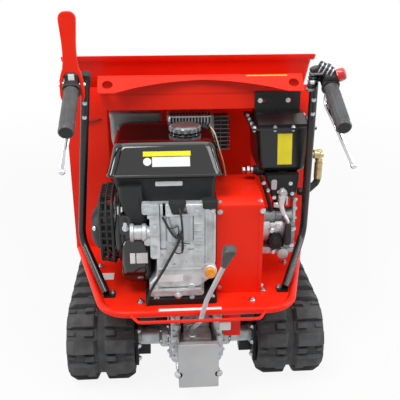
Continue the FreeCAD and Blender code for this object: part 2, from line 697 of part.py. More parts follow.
def belt_inside():
    """The space inside the belt, seen from the side."""
    radius = size("belt_inner_radius")
    base = size("wheelbase")
    low_rear, low_front = Vector(0, 0, -radius), Vector(0, base, -radius)
    high_front, high_rear = Vector(0, base, radius), Vector(0, 0, radius)
    front = Part.Arc(low_front, Vector(0, base + radius, 0), high_front)
    rear = Part.Arc(high_rear, Vector(0, -radius, 0), low_rear)
    edges = [Part.LineSegment(low_rear, low_front).toShape(), front.toShape(),
             Part.LineSegment(high_front, high_rear).toShape(), rear.toShape()]
    return Part.Face(Part.Wire(edges))


def make_track(side, sign):
    """Rubber track: one loop whose lugs are in its outline."""
    belt_radius = size("belt_inner_radius") + size("belt_thickness")
    outline = track_outline(belt_radius, belt_radius + size("lug_height"))
    width = Vector(size("track_width"), 0, 0)
    loop = outline.extrude(width).cut(belt_inside().extrude(width))
    item = doc.addObject("Part::Feature", side + "_track")
    item.Shape = loop
    place(item, "%d * track_middle - track_width / 2" % sign, "axle_y", "axle_up")
    node(side + "_track", item)


def make_track_frame(side, sign):
    """Beam inside the loop, with roller plates, idler fork and the axle flange."""
    name = side + "_track_frame"

    def across(low, high):
        return "%d * track_middle + (%s)" % (sign, low), "%d * track_middle + (%s)" % (sign, high)

    beam_x = across("-beam_half_width", "beam_half_width")
    beam_y = ("axle_y + beam_start", "axle_y + beam_end")
    parts = [block(name + "_beam", beam_x, beam_y, ("beam_low", "beam_high"))]
    for mark, low, high in (("a", "-beam_half_width", "skirt_thickness - beam_half_width"),
                            ("b", "beam_half_width - skirt_thickness", "beam_half_width")):
        parts.append(block(name + "_skirt_" + mark, across(low, high),
                           ("axle_y + roller_first - skirt_inset", "axle_y + beam_end - skirt_end"),
                           ("skirt_low", "beam_low + 1")))
        parts.append(block(name + "_fork_" + mark, across(low, high),
                           ("axle_y + beam_end - 1", "idler_y + fork_reach"),
                           ("axle_up - fork_half_height", "axle_up + fork_half_height")))
        parts.append(block(name + "_stay_" + mark, across(low, high),
                           ("axle_y + top_roller_at - stay_half", "axle_y + top_roller_at + stay_half"),
                           ("beam_high - 1", "axle_up + belt_inner_radius - stay_inset")))
    arm_x = span(sign, "flange_inner", "track_middle - beam_half_width + 2")
    parts.append(block(name + "_arm", arm_x, ("axle_y + beam_start", "axle_y + beam_start + arm_length"),
                       ("beam_low", "beam_high")))
    flange_x = span(sign, "flange_inner", "flange_inner + flange_thickness")
    low, high = "axle_up - flange_half_height", "axle_up + flange_half_height"
    rear, ahead = "axle_y - flange_rear", "axle_y + flange_half_height"
    arm_end = "axle_y + beam_start + arm_length"
    parts.append(plate(name + "_flange", "YZ", flange_x[0], flange_x[1],
                       [(rear, low), (ahead, low), (arm_end, "beam_low"), (arm_end, "beam_high"),
                        (ahead, high), (rear, high)]))
    body = fuse(name + "_whole", parts)
    shaft_hole = rod(name + "_bore", "x", "drive_shaft_radius + running_gap",
                     (flange_x[0] + " - 1", "axle_y", "axle_up"), "flange_thickness + 2")
    node(name, cut(name, body, shaft_hole))


def make_sprocket(side, sign):
    """Toothed drive wheel and the shaft that turns it."""
    name = side + "_sprocket"
    middle = "%d * track_middle" % sign
    disc = rod(name + "_disc", "x", "sprocket_body_radius",
               (middle + " - wheel_half_width", "axle_y", "axle_up"), "wheel_half_width * 2")
    parts = [disc]
    count = int(size("sprocket_teeth"))
    tip = size("belt_inner_radius") - size("seat_gap") * 3
    root = size("sprocket_body_radius") - 4
    root_half, tip_half = size("tooth_root_half"), size("tooth_tip_half")
    flat = [Vector(0, -root_half, root), Vector(0, root_half, root),
            Vector(0, tip_half, tip), Vector(0, -tip_half, tip)]
    profile = Part.Face(Part.makePolygon(flat + flat[:1]))
    for index in range(count):
        tooth = profile.extrude(Vector(size("wheel_half_width") * 2, 0, 0))
        tooth.rotate(Vector(), Vector(1, 0, 0), 360.0 * (index + 0.5) / count)
        item = doc.addObject("Part::Feature", "%s_tooth_%d" % (name, index))
        item.Shape = tooth
        place(item, middle + " - wheel_half_width", "axle_y", "axle_up")
        parts.append(item)
    shaft_x = span(sign, "flange_inner", "track_middle - wheel_half_width + 1")
    parts.append(rod(name + "_shaft", "x", "drive_shaft_radius", (shaft_x[0], "axle_y", "axle_up"),
                     "(%s) - (%s)" % (shaft_x[1], shaft_x[0])))
    node(name, fuse(name, parts))


def make_idler(side, sign):
    """Plain front wheel on an axle held by the fork."""
    name = side + "_idler"
    middle = "%d * track_middle" % sign
    wheel = rod(name + "_wheel", "x", "belt_inner_radius - seat_gap",
                (middle + " - wheel_half_width", "idler_y", "axle_up"), "wheel_half_width * 2")
    axle = rod(name + "_axle", "x", "idler_axle",
               (middle + " - beam_half_width + skirt_thickness", "idler_y", "axle_up"),
               "(beam_half_width - skirt_thickness) * 2")
    node(name, fuse(name, [wheel, axle]))


def make_rollers(side, sign):
    """Bottom rollers and the upper roller of one track, as separate solids."""
    name = side + "_rollers"
    middle = "%d * track_middle" % sign
    stations = [("axle_y + roller_first + %d * roller_pitch" % index,
                 "ground_run + roller_radius", "roller_radius")
                for index in range(int(size("roller_count")))]
    stations.append(("axle_y + top_roller_at", "upper_run - top_roller_radius", "top_roller_radius"))
    rollers = []
    for index, (y, z, radius) in enumerate(stations):
        wheel = rod("%s_wheel_%d" % (name, index), "x", radius,
                    (middle + " - wheel_half_width", y, z), "wheel_half_width * 2")
        axle = rod("%s_axle_%d" % (name, index), "x", "roller_axle",
                   (middle + " - beam_half_width + skirt_thickness", y, z),
                   "(beam_half_width - skirt_thickness) * 2")
        rollers.append(fuse("%s_%d" % (name, index), [wheel, axle]))
    group = doc.addObject("Part::Compound", name)
    group.Links = rollers
    node(name, group)


# ---------------------------------------------------------------- frame
def make_main_frame():
    """Two rails, their cross members, the tubes that carry the tracks and the hinge ears."""
    parts = []
    rail_z = ("rail_low", "rail_high")
    for sign in (-1, 1):
        mark = "left" if sign < 0 else "right"
        rail_x = span(sign, "rail_inner", "rail_outer")
        parts.append(block("rail_" + mark, rail_x, ("axle_y + rail_start", "axle_y + rail_end"), rail_z))
        for where in ("rear", "front"):
            centre = "axle_y + carrier_" + where
            leg_x = span(sign, "rail_inner + leg_inset", "rail_outer - leg_inset")
            parts.append(block("leg_%s_%s" % (mark, where), leg_x,
                               (centre + " - carrier_size / 2", centre + " + carrier_size / 2"),
                               ("beam_low + 1", "rail_low + 1")))
        ear_x = span(sign, "rail_outer - ear_inset - ear_thickness", "rail_outer - ear_inset")
        side_up, crown = "hinge_up + hinge_ear_flat", "hinge_up + hinge_ear_half"
        parts.append(plate("hinge_ear_" + mark, "YZ", ear_x[0], ear_x[1],
                           [("hinge_y - hinge_ear_rear", "rail_high - 1"),
                            ("hinge_y + hinge_ear_front", "rail_high - 1"),
                            ("hinge_y + hinge_ear_half", side_up), ("hinge_y + hinge_ear_flat", crown),
                            ("hinge_y - hinge_ear_flat", crown), ("hinge_y - hinge_ear_half", side_up)]))
        ear_x = span(sign, "eye_half_width + foot_ear_gap",
                     "eye_half_width + foot_ear_gap + foot_ear_sheet")
        crown = "cylinder_foot_up + foot_ear_bulge"
        parts.append(plate("foot_ear_" + mark, "YZ", ear_x[0], ear_x[1],
                           [("foot_y - foot_ear_rear", "rail_low"), ("foot_y + foot_ear_half", "rail_low"),
                            ("foot_y + foot_ear_bulge", "cylinder_foot_up"),
                            ("foot_y + foot_ear_half", crown), ("foot_y - foot_ear_half", crown),
                            ("foot_y - foot_ear_rear", "rail_high - foot_ear_drop")]))
    for mark, start, end in (
            ("gearbox", "rail_start + cross_gearbox_start", "rail_start + cross_gearbox_end"),
            ("foot", "cylinder_foot_at - cross_foot_start", "cylinder_foot_at - cross_foot_end"),
            ("nose", "rail_end - cross_nose", "rail_end")):
        parts.append(block("cross_" + mark, ("-rail_inner - 1", "rail_inner + 1"),
                           ("axle_y + " + start, "axle_y + " + end), rail_z))
    for where in ("rear", "front"):
        centre = "axle_y + carrier_" + where
        parts.append(block("carrier_" + where,
                           ("-track_middle + beam_half_width", "track_middle - beam_half_width"),
                           (centre + " - carrier_size / 2", centre + " + carrier_size / 2"),
                           ("beam_low - carrier_drop", "beam_low - carrier_drop + carrier_size")))
    parts.append(rod("hinge_shaft", "x", "hinge_pin_radius",
                     ("-rail_outer + shaft_inset", "hinge_y", "hinge_up"), "(rail_outer - shaft_inset) * 2"))
    ears_half = "(eye_half_width + foot_ear_gap + foot_ear_sheet)"
    parts.append(rod("foot_pin", "x", "cylinder_pin_radius",
                     ("-" + ears_half, "foot_y", "cylinder_foot_up"), ears_half + " * 2"))
    node("main_frame", fuse("main_frame", parts))


def make_skip_rests():
    """Rubber blocks on the rails that the skip's plates lie on."""
    rests = []
    for sign in (-1, 1):
        rests.append(block("rest_%s" % ("left" if sign < 0 else "right"),
                           span(sign, "rail_inner + 1", "rail_outer - rest_inset"),
                           ("axle_y + floor_rear + rest_start", "axle_y + floor_rear + rest_end"),
                           ("rail_high", "plate_low - seat_gap")))
    group = doc.addObject("Part::Compound", "skip_rests")
    group.Links = rests
    node("skip_rests", group)


def make_deck():
    """Engine deck, rounded at its rear corners like the bumper, with a tab under its right side."""
    edge = "(bumper_radius + seat_gap)"
    right = [("bumper_front_half - %s / cos(atan(bumper_lean))" % edge, "bulkhead_y")]
    for index in range(5):
        turn = "((90 - atan(bumper_lean) / 1 deg) * %d / 4 * 1 deg)" % (4 - index)
        right.append(("bend_x + deck_bend * sin%s" % turn, "bend_y - deck_bend * cos%s" % turn))
    left = [("-(%s)" % x, y) for x, y in reversed(right)]
    deck = plate("deck_sheet_metal", "XY", "deck_top - deck_sheet", "deck_top", right + left)
    tab = block("deck_tab", ("tab_left", "tab_right"),
                ("axle_y + tab_rear", "axle_y + tab_rear + tab_sheet"),
                ("deck_top - tab_drop", "deck_top - deck_sheet + 1"))
    node("engine_deck", fuse("engine_deck", [deck, tab]))


def make_bumper():
    """Tube round the deck's back, with the thin rod that keeps the gear lever in its gate."""
    up = size("bumper_up")
    axle = size("axle_y")
    radius = size("bumper_radius")
    lean = size("bumper_lean")
    slant = math.hypot(1, lean)
    front_y = size("bulkhead_y") - size("seat_gap") - radius * lean / slant
    front = (size("bumper_front_half") - lean * (size("bulkhead_y") - front_y), front_y, up)
    corner = (size("bumper_rear_half"), axle + size("bumper_rear"), up)
    half = [front, corner]
    mirrored = [(-x, y, z) for x, y, z in reversed(half)]
    bumper = tube("bumper_tube", half + mirrored, radius, size("bumper_bend"))
    start = corner[1] - radius + size("guard_radius") / 2
    outer = size("guard_half") + size("guard_flare")
    rear = axle + size("guard_rear")
    points = [(-outer, start, up), (-size("guard_half"), rear, size("guard_up")),
              (size("guard_half"), rear, size("guard_up")), (outer, start, up)]
    guard = tube("guard_rod", points, size("guard_radius"), size("guard_bend"))
    node("rear_bumper", fuse("rear_bumper", [bumper, guard]))


def make_bulkhead():
    """Upright panel behind the engine, with a window for its air filter and silencer."""
    corners = [("-bulkhead_half_width", "deck_top - deck_sheet"),
               ("bulkhead_half_width", "deck_top - deck_sheet"),
               ("bulkhead_half_width", "bulkhead_top"), ("-bulkhead_half_width", "bulkhead_top")]
    window = [("window_left", "window_low"), ("window_right", "window_low"),
              ("window_right", "window_high"), ("window_left", "window_high")]
    panel = plate("bulkhead", "XZ", "bulkhead_y", "bulkhead_y + sheet", corners, windows=[window])
    node("bulkhead", panel)


def make_hood():
    """Hood over the engine: rear wall, two cheeks and a sloping visor with two holes."""
    wall = block("hood_wall", ("hood_left", "hood_right"), ("hood_y", "hood_y + sheet"),
                 ("hood_low", "hood_top"))
    cheeks = [block("hood_cheek_" + mark, x, ("hood_y + 1", "bulkhead_y"), ("hood_low", "bulkhead_top"))
              for mark, x in (("left", ("hood_left", "hood_left + sheet")),
                              ("right", ("hood_right - sheet", "hood_right")))]
    roof = block("hood_roof", ("hood_left", "hood_right"), ("hood_y + 1", "bulkhead_y"),
                 ("bulkhead_top - sheet", "bulkhead_top"))
    visor = doc.addObject("PartDesign::Body", "visor")
    sketch = visor.newObject("Sketcher::SketchObject", "visor_outline")
    ground = next(item for item in visor.Origin.OriginFeatures if item.Role == "XY_Plane")
    sketch.AttachmentSupport = [(ground, "")]
    sketch.MapMode = "FlatFace"
    length = "(hood_right - hood_left)"
    corners = [("0", "0"), (length, "0"), (length, "-visor_depth"),
               (length + " - visor_hole_inset * 2.4", "-visor_depth"),
               (length + " * 0.66", "-visor_waist * 1.35"), (length + " * 0.55", "-visor_waist"),
               (length + " * 0.45", "-visor_waist"), (length + " * 0.34", "-visor_waist * 1.35"),
               ("visor_hole_inset * 2.4", "-visor_depth"), ("0", "-visor_depth")]
    draw_outline(sketch, corners)
    for x in ("visor_hole_inset", length + " - visor_hole_inset"):
        circle = sketch.GeometryCount
        centre = numbers([(x, "-visor_hole_up")])[0]
        sketch.addGeometry(Part.Circle(Vector(*centre), Vector(0, 0, 1), 5))
        hold_point(sketch, circle, 3, x, "-visor_hole_up")
        row = sketch.addConstraint(Sketcher.Constraint("Radius", circle, 5.0))
        sketch.setExpression("Constraints[%d]" % row, link("visor_hole_radius"))
    pad = visor.newObject("PartDesign::Pad", "visor_pad")
    pad.Profile = sketch
    pad.setExpression("Length", link("sheet"))
    pad.Reversed = True
    place(visor, "hood_left", "hood_y + sheet", "hood_top")
    visor.Placement = Placement(visor.Placement.Base, Rotation(Vector(1, 0, 0), size("visor_slope")))
    node("rear_hood", fuse("rear_hood", [wall, roof, visor] + cheeks))


# ---------------------------------------------------------------- drive
def make_gearbox():
    """Cast gearbox under the deck, with a nose behind it that carries the gear lever."""
    housing = block("gearbox_housing", ("-gearbox_half_width", "gearbox_half_width"),
                    ("axle_y + gearbox_rear", "axle_y + gearbox_front"), ("gearbox_low", "rail_low"))
    nose = block("gearbox_nose", ("-nose_half_width", "nose_half_width"),
                 ("axle_y + nose_rear", "axle_y + gearbox_rear + 1"), ("nose_low", "nose_top"))
    node("gearbox", fuse("gearbox", [housing, nose]))


def make_axle_tube(side, sign):
    """Tube from the gearbox to the track frame's flange."""
    x = span(sign, "gearbox_half_width", "flange_inner")
    name = side + "_axle_tube"
    node(name, rod(name, "x", "axle_tube_radius", (x[0], "axle_y", "axle_up"),
                   "(%s) - (%s)" % (x[1], x[0])))


def make_shield():
    """Folded steel shield behind the gearbox, with a pin hole in each lower corner."""
    face = plate("shield_face", "XZ", "axle_y + shield_rear", "axle_y + shield_rear + sheet",
                 [("-shield_half_width", "shield_low"), ("shield_half_width", "shield_low"),
                  ("shield_half_width", "shield_high"), ("-shield_half_width", "shield_high")])
    sides = []
    for sign in (-1, 1):
        x = span(sign, "shield_half_width - sheet", "shield_half_width")
        sides.append(plate("shield_side_%s" % ("left" if sign < 0 else "right"), "YZ", x[0], x[1],
                           [("axle_y + shield_rear + 1", "shield_low"),
                            ("axle_y + gearbox_rear", "shield_low + shield_corner"),
                            ("axle_y + gearbox_rear", "shield_high - shield_corner"),
                            ("axle_y + shield_rear + 1", "shield_high")],
                           holes=[("axle_y + shield_rear + shield_hole_at",
                                   "shield_low + shield_hole_up", "shield_hole_radius")]))
    node("shield_plate", fuse("shield_plate", [face] + sides))


def make_gear_lever():
    """Bent rod from the gearbox's nose up through the gate, and its knob."""
    axle = size("axle_y")
    foot = size("nose_top")
    behind_bumper = size("bumper_rear") - size("bumper_radius")
    gate = axle + (behind_bumper + size("guard_rear") + size("guard_radius")) / 2
    over_gate = Vector(size("gate_across"), gate, size("gate_up"))
    top = Vector(size("lever_top_across"), axle + size("lever_top_at"), size("lever_top_up"))
    foot_x = size("lever_foot_across")
    foot_y = axle + size("lever_foot_at")
    points = [(foot_x, foot_y, foot), (foot_x, foot_y, foot + size("lever_foot_rise")),
              (size("lever_bend_across"), gate, size("lever_bend_up")), over_gate, top]
    node("gear_lever", tube("gear_lever", points, size("lever_radius"), size("lever_bend")))
    along = (top - over_gate).normalize()
    taper = size("knob_taper")
    knob = Part.makeCone(size("knob_low_radius"), size("knob_radius"), taper, top, along)
    knob = knob.fuse(Part.makeCylinder(size("knob_radius"), size("knob_crown"), top + along * taper, along))
    item = doc.addObject("Part::Feature", "gear_knob")
    item.Shape = knob.removeSplitter()
    node("gear_knob", item)


# ---------------------------------------------------------------- engine
def make_engine():
    """Crankcase and cylinder as one heavy block, on its mount."""
    mount = block("engine_mount", ("crankcase_left - mount_lip_left", "cover_left - 1"),
                  ("axle_y + crankcase_rear - mount_lip_rear", "axle_y + crankcase_front"),
                  ("deck_top", "mount_top"))
    node("engine_mount", mount)
    x = ("crankcase_left", "crankcase_right")
    case = block("crankcase", x, ("axle_y + crankcase_rear", "axle_y + crankcase_front"),
                 ("mount_top", "crankcase_top"))
    cover = block("crankcase_cover", ("crankcase_left + case_cover_inset", "crankcase_right"),
                  ("axle_y + crankcase_rear", "axle_y + tank_rear + case_cover_ahead"),
                  ("crankcase_top - 1", "crankcase_top + case_cover_rise"))
    head = block("cylinder_head",
                 ("crankcase_left + head_inset_left", "crankcase_right - head_inset_right"),
                 ("axle_y + crankcase_front - 1", "axle_y + head_front"),
                 ("mount_top + head_low", "crankcase_top"))
    node("engine_block", fuse("engine_block", [case, cover, head]))


def make_starter_side():
    """Fan housing and the recoil starter on the crankshaft's left end."""
    housing = rod("fan_round", "x", "fan_radius", ("fan_left", "crank_y", "crank_up"), "fan_width")
    foot = block("fan_foot", ("fan_left + fan_foot_left", "crankcase_left"),
                 ("crank_y - fan_foot_half", "crank_y + fan_foot_half"),
                 ("mount_top + fan_foot_up", "crank_up"))
    node("fan_housing", fuse("fan_housing", [housing, foot]))
    cup = rod("starter_cup", "x", "cup_radius", ("cup_left", "crank_y", "crank_up"), "cup_width")
    node("starter_cup", cup)


def make_fuel_tank():
    """Pressed tank with a rim, its cap and the cover below it."""
    rim_x = ("tank_left", "tank_right")
    rim_y = ("axle_y + tank_rear", "axle_y + tank_front")
    in_x = ("tank_left + tank_taper", "tank_right - tank_taper")
    in_y = ("axle_y + tank_rear + tank_taper_rear", "axle_y + tank_front - tank_front_taper")
    body = frustum("tank_body", "tank_rim", "tank_top", (rim_x, rim_y), (in_x, in_y))
    rim = block("tank_seam_rim", ("tank_left - tank_lip", "tank_right + tank_lip"),
                ("axle_y + tank_rear - tank_lip", "axle_y + tank_front + tank_lip"),
                ("tank_rim - tank_seam", "tank_rim + 1"))
    node("fuel_tank", fuse("fuel_tank", [body, rim]))
    cap = rod("fuel_cap", "z", "cap_radius", ("cap_across", "axle_y + cap_at", "tank_top"), "cap_height")
    node("fuel_cap", cap)
    rear = "axle_y + tank_rear + skirt_rear"
    top = (("tank_left + skirt_top_left", "tank_right - skirt_top_right"),
           (rear, "axle_y + tank_front - skirt_front"))
    low = (("tank_left + skirt_low_left", "tank_right - skirt_low_right"),
           (rear, "axle_y + crankcase_front"))
    node("tank_cover", frustum("tank_cover", "crankcase_top", "tank_rim - tank_seam", low, top))


def make_rear_kit():
    """Air filter and silencer, which reach through the bulkhead's window."""
    y = ("axle_y + rear_kit_near", "axle_y + rear_kit_far")
    box = block("filter_box", ("filter_left", "filter_right"), y,
                ("tank_rim - filter_below", "window_high - filter_above"))
    neck = block("filter_neck", ("filter_right - neck_left", "filter_right + neck_right"),
                 ("axle_y + head_front - neck_rear", "axle_y + rear_kit_far - filter_neck_front"),
                 ("crankcase_top", "tank_rim - filter_below + 1"))
    node("air_filter", fuse("air_filter", [box, neck]))
    shell = block("silencer_shell", ("exhaust_left", "exhaust_right"), y,
                  ("crankcase_top + silencer_low", "window_high - silencer_above"))
    port = block("silencer_port", ("exhaust_left + port_left", "exhaust_left + port_right"),
                 ("axle_y + head_front - neck_rear", "axle_y + rear_kit_far - port_front"),
                 ("crankcase_top", "crankcase_top + silencer_low + 1"))
    node("silencer", fuse("silencer", [shell, port]))
    cage = block("silencer_cage", ("exhaust_right", "cage_right"),
                 ("axle_y + rear_kit_near + cage_rear", "axle_y + rear_kit_far - cage_front"),
                 ("tank_rim - cage_low", "tank_top + cage_top"))
    node("silencer_cage", cage)


def make_belt_cover():
    """Folded cover over the belt between the engine and the gearbox."""
    node("belt_cover", block("belt_cover", ("cover_left", "cover_right"),
                             ("axle_y + cover_rear", "axle_y + cover_front"), ("deck_top", "cover_top")))


# ---------------------------------------------------------------- hydraulics
def make_hydraulics():
    """Oil tank with its bracket, valve, pump and the hose between them."""
    top = (("oil_left", "oil_right"), ("axle_y + oil_rear", "axle_y + oil_front"))
    low = (("oil_left + oil_taper", "oil_right - oil_taper"),
           ("axle_y + oil_rear + oil_taper", "axle_y + oil_front - oil_foot_inset"))
    body = frustum("oil_body", "oil_low", "oil_flange + 1", low, top)
    flange = block("oil_flange_plate", ("oil_left - oil_flange_lip", "oil_right + oil_flange_lip"),
                   ("axle_y + oil_rear - oil_flange_rear", "bulkhead_y - oil_flange_gap"),
                   ("oil_flange", "oil_flange_top"))
    node("oil_tank", fuse("oil_tank", [body, flange]))

    lid_rear = "axle_y + oil_rear + oil_lid_rear"
    lid_top = "oil_flange_top + oil_lid_rise"
    lid = plate("oil_lid", "YZ", "oil_left + oil_lid_left", "oil_right - oil_lid_right",
                [(lid_rear, "oil_flange_top"), (lid_rear, "oil_flange_top + oil_lid_edge"),
                 ("hood_y - oil_lid_level", lid_top), ("hood_y - seat_gap", lid_top),
                 ("hood_y - seat_gap", "oil_flange_top")])
    hanger = block("oil_hanger", ("oil_left + oil_lid_left", "oil_right - hanger_right"),
                   ("hood_y - seat_gap - hanger_sheet", "hood_y - seat_gap"),
                   ("oil_flange_top + 1", "hood_low + hanger_rise"))
    node("oil_tank_bracket", fuse("oil_tank_bracket", [lid, hanger]))

    case = block("valve_case", ("valve_left", "valve_right"),
                 ("axle_y + valve_rear", "axle_y + valve_front"),
                 ("valve_low", "oil_low - valve_below"))
    neck_start = ("valve_left + valve_neck_across", "axle_y + valve_neck_at",
                  "oil_low - valve_below - 1")
    neck = rod("valve_neck", "z", "valve_neck_radius", neck_start, "valve_below + 1")
    node("hydraulic_valve", fuse("hydraulic_valve", [case, neck]))

    shell = rod("pump_shell", "x", "pump_radius",
                ("cover_right + pump_boss_length", "axle_y + pump_at", "pump_up"), "pump_length")
    boss = rod("pump_boss", "x", "pump_boss_radius", ("cover_right", "axle_y + pump_at", "pump_up"),
               "pump_boss_length + 1")
    riser = rod("pump_riser", "z", "riser_radius",
                ("cover_right + riser_across", "axle_y + pump_at", "pump_up + riser_start"),
                "valve_low - pump_up - riser_start")
    node("hydraulic_pump", fuse("hydraulic_pump", [shell, boss, riser]))

    spigot_start = ("oil_right - oil_taper * fitting_share + seat_gap", "axle_y + fitting_at",
                    "fitting_up")
    spigot = rod("fitting_spigot", "x", "spigot_radius", spigot_start, "oil_flange_lip + spigot_reach")
    elbow = rod("fitting_cup", "z", "elbow_radius", ("elbow_across", "axle_y + fitting_at", "elbow_low"),
                "elbow_height")
    node("hose_fitting", fuse("hose_fitting", [spigot, elbow]))
    across = size("elbow_across")
    station = size("axle_y") + size("fitting_at")
    end_up = size("hose_end_up")
    points = [(across, station, size("elbow_low")), (across, station, size("hose_turn_up")),
              (size("hose_turn_across"), station, end_up),
              (size("valve_right") + size("seat_gap"), station, end_up)]
    node("hydraulic_hose", tube("hydraulic_hose", points, size("hose_radius"), size("hose_bend")))


# ---------------------------------------------------------------- handles
def grip_ends(sign):
    """Front and rear end of one grip."""
    x = sign * size("grip_half_gap") + size("bar_shift")
    front = Vector(x, size("axle_y") + size("grip_front"), size("grip_rise"))
    slope = math.radians(size("grip_drop"))
    rear = front + Vector(0, -math.cos(slope), -math.sin(slope)) * size("grip_length")
    return front, rear


def on_grip(sign, lateral, forward, up):
    """A point near a grip's front end, in the grip's own directions; lateral is outwards."""
    front, rear = grip_ends(sign)
    ahead = (front - rear).normalize()
    above = Vector(1, 0, 0).cross(ahead)
    return front + Vector(sign * lateral, 0, 0) + ahead * forward + above * up


def grip_block(sign, lateral, forward, up):
    """A block square to a grip, between low and high distances each way."""
    front, rear = grip_ends(sign)
    turn = Rotation(Vector(0, 1, 0), front - rear)
    low = min(sign * lateral[0], sign * lateral[1])
    block_shape = Part.makeBox(lateral[1] - lateral[0], forward[1] - forward[0], up[1] - up[0],
                               Vector(low, forward[0], up[0]))
    block_shape.Placement = Placement(front, turn)
    return block_shape


def make_handle(side, sign):
    """Bent tube from the deck to the grip, with its foot and the head that holds the grip."""
    axle = size("axle_y")
    deck = size("deck_top")
    foot = Vector(sign * size("foot_half_gap"), axle + size("foot_at"), deck + size("bar_radius"))
    knee = Vector(sign * size("knee_half_gap"), axle + size("knee_at"), size("knee_up"))
    top = on_grip(sign, -size("bar_inset"), size("head_length") + size("arm_reach") * 0.4, 0)
    pole = tube(side + "_pole", [foot, knee, top], size("bar_radius"), size("bar_bend"))
    pad_reach = size("foot_pad_inner") if sign > 0 else size("foot_pad_outer")
    pad_start = Vector(foot.x - pad_reach, foot.y - size("foot_pad_length") / 2, deck)
    pad = Part.makeBox(size("foot_pad_inner") + size("foot_pad_outer"), size("foot_pad_length"),
                       size("foot_pad_thickness"), pad_start)
    half = size("head_half_width")
    length = size("head_length")
    tall = size("head_half_height")
    head = grip_block(sign, (-half, half), (0, length), (-tall, tall))
    low = size("arm_half_height")
    arm = grip_block(sign, (-size("bar_inset") - size("bar_radius") - 1, half),
                     (length - 1, length + size("arm_reach")), (-low, low))
    item = doc.addObject("Part::Feature", side + "_handle")
    item.Shape = pole.Shape.multiFuse([pad, head, arm]).removeSplitter()
    doc.removeObject(pole.Name)
    node(side + "_handle", item)

    front, rear = grip_ends(sign)
    grip = doc.addObject("Part::Feature", side + "_grip")
    grip.Shape = Part.makeCylinder(size("grip_radius"), size("grip_length"), front, rear - front)
    node(side + "_grip", grip)

    root_at = size("steer_at")
    knee = Vector(sign * size("steer_knee_out"), -size("steer_knee_back"), -size("steer_knee_drop"))
    tip = Vector(sign * size(side + "_lever_splay"), -size("steer_tip_back"), -size("steer_tip_drop"))
    points = [on_grip(sign, 0, root_at, -tall - size("seat_gap")),
              on_grip(sign, 0, root_at, -size("steer_drop")), front + knee, front + tip]
    lever = tube(side + "_steering_lever", points, size("lever_rod"), size("lever_bend"))
    node(side + "_steering_lever", lever)


def make_clutch_lever():
    """Tall flat lever that straddles the front of the left grip."""
    x = "(bar_shift - grip_half_gap)"
    low = "grip_rise - clutch_drop"
    slot = "grip_rise + clutch_slot_up"
    shoulder = "grip_rise + clutch_shoulder_up"
    neck = "grip_rise + clutch_neck_up"
    paddle = "clutch_top - clutch_crown"
    corners = [(x + " - clutch_half", low), (x + " - clutch_mouth_half", low),
               (x + " - clutch_slot_half", slot), (x + " + clutch_slot_half", slot),
               (x + " + clutch_mouth_half", low), (x + " + clutch_half", low),
               (x + " + clutch_half", shoulder), (x + " + clutch_neck_half", neck),
               (x + " + clutch_paddle_half", paddle), (x + " + clutch_crown_half", "clutch_top"),
               (x + " - clutch_crown_half", "clutch_top"), (x + " - clutch_paddle_half", paddle),
               (x + " - clutch_neck_half", neck), (x + " - clutch_half", shoulder)]
    y = "axle_y + grip_front + clutch_ahead"
    node("clutch_lever", plate("clutch_lever", "XZ", y, y + " + clutch_thickness", corners))


def make_throttle():
    """Throttle body on the right handle's head, and its round knob."""
    body = doc.addObject("Part::Feature", "throttle")
    half = size("throttle_half")
    body.Shape = grip_block(1, (-half, half), (size("throttle_rear"), size("throttle_front")),
                            (size("throttle_low"), size("throttle_high")))
    node("throttle", body)
    knob = doc.addObject("Part::Feature", "throttle_knob")
    start = on_grip(1, half, size("throttle_knob_at"), size("throttle_knob_up"))
    knob.Shape = Part.makeCylinder(size("throttle_knob_radius"), size("throttle_knob_length"), start,
                                   Vector(1, 0, 0))
    node("throttle_knob", knob)


# ---------------------------------------------------------------- skip and cylinder
def make_skip():
    """Open tub of sheet steel, whose folded rim slopes down to the front."""
    def flared(name, low, high, out):
        """The tub as one solid, its walls moved out by so much."""
        bottom = (("-(floor_half_width + %s)" % out, "floor_half_width + %s" % out),
                  ("axle_y + floor_rear - %s" % out, "axle_y + floor_front + %s" % out))
        top = (("-(wall_half + %s)" % out, "wall_half + %s" % out),
               ("axle_y + wall_rear - %s" % out, "axle_y + wall_front + %s" % out))
        return frustum(name, low, high, bottom, top)

    def along_rim(name, below, above):
        """A slab that follows the slope of the rim, between two heights from its top face."""
        ends = [("axle_y + skip_rear - 1", "skip_top + skip_slope"),
                ("axle_y + wall_front + rim_overhang + 1",
                 "skip_top - skip_slope * (wall_front + rim_overhang + 1 - skip_rear)")]
        corners = [(y, "%s + (%s)" % (z, below)) for y, z in ends]
        corners += [(y, "%s + (%s)" % (z, above)) for y, z in reversed(ends)]
        return plate(name, "YZ", "-skip_half_width - 1", "skip_half_width + 1", corners)

    walls = cut("skip_walls", flared("skip_outer", "skip_floor", "skip_top", "0"),
                along_rim("above_rim", "0", "skip_top"))
    rim = doc.addObject("Part::Common", "skip_rim")
    rim.Base = flared("rim_outer", "skip_floor", "skip_top", "rim_overhang")
    rim.Tool = along_rim("rim_slab", "-rim_height", "0")
    inner = flared("skip_inner", "skip_floor + skip_sheet", "skip_top + 1", "(0 - skip_sheet)")
    node("skip_tub", cut("skip_tub", fuse("skip_body", [walls, rim]), inner))


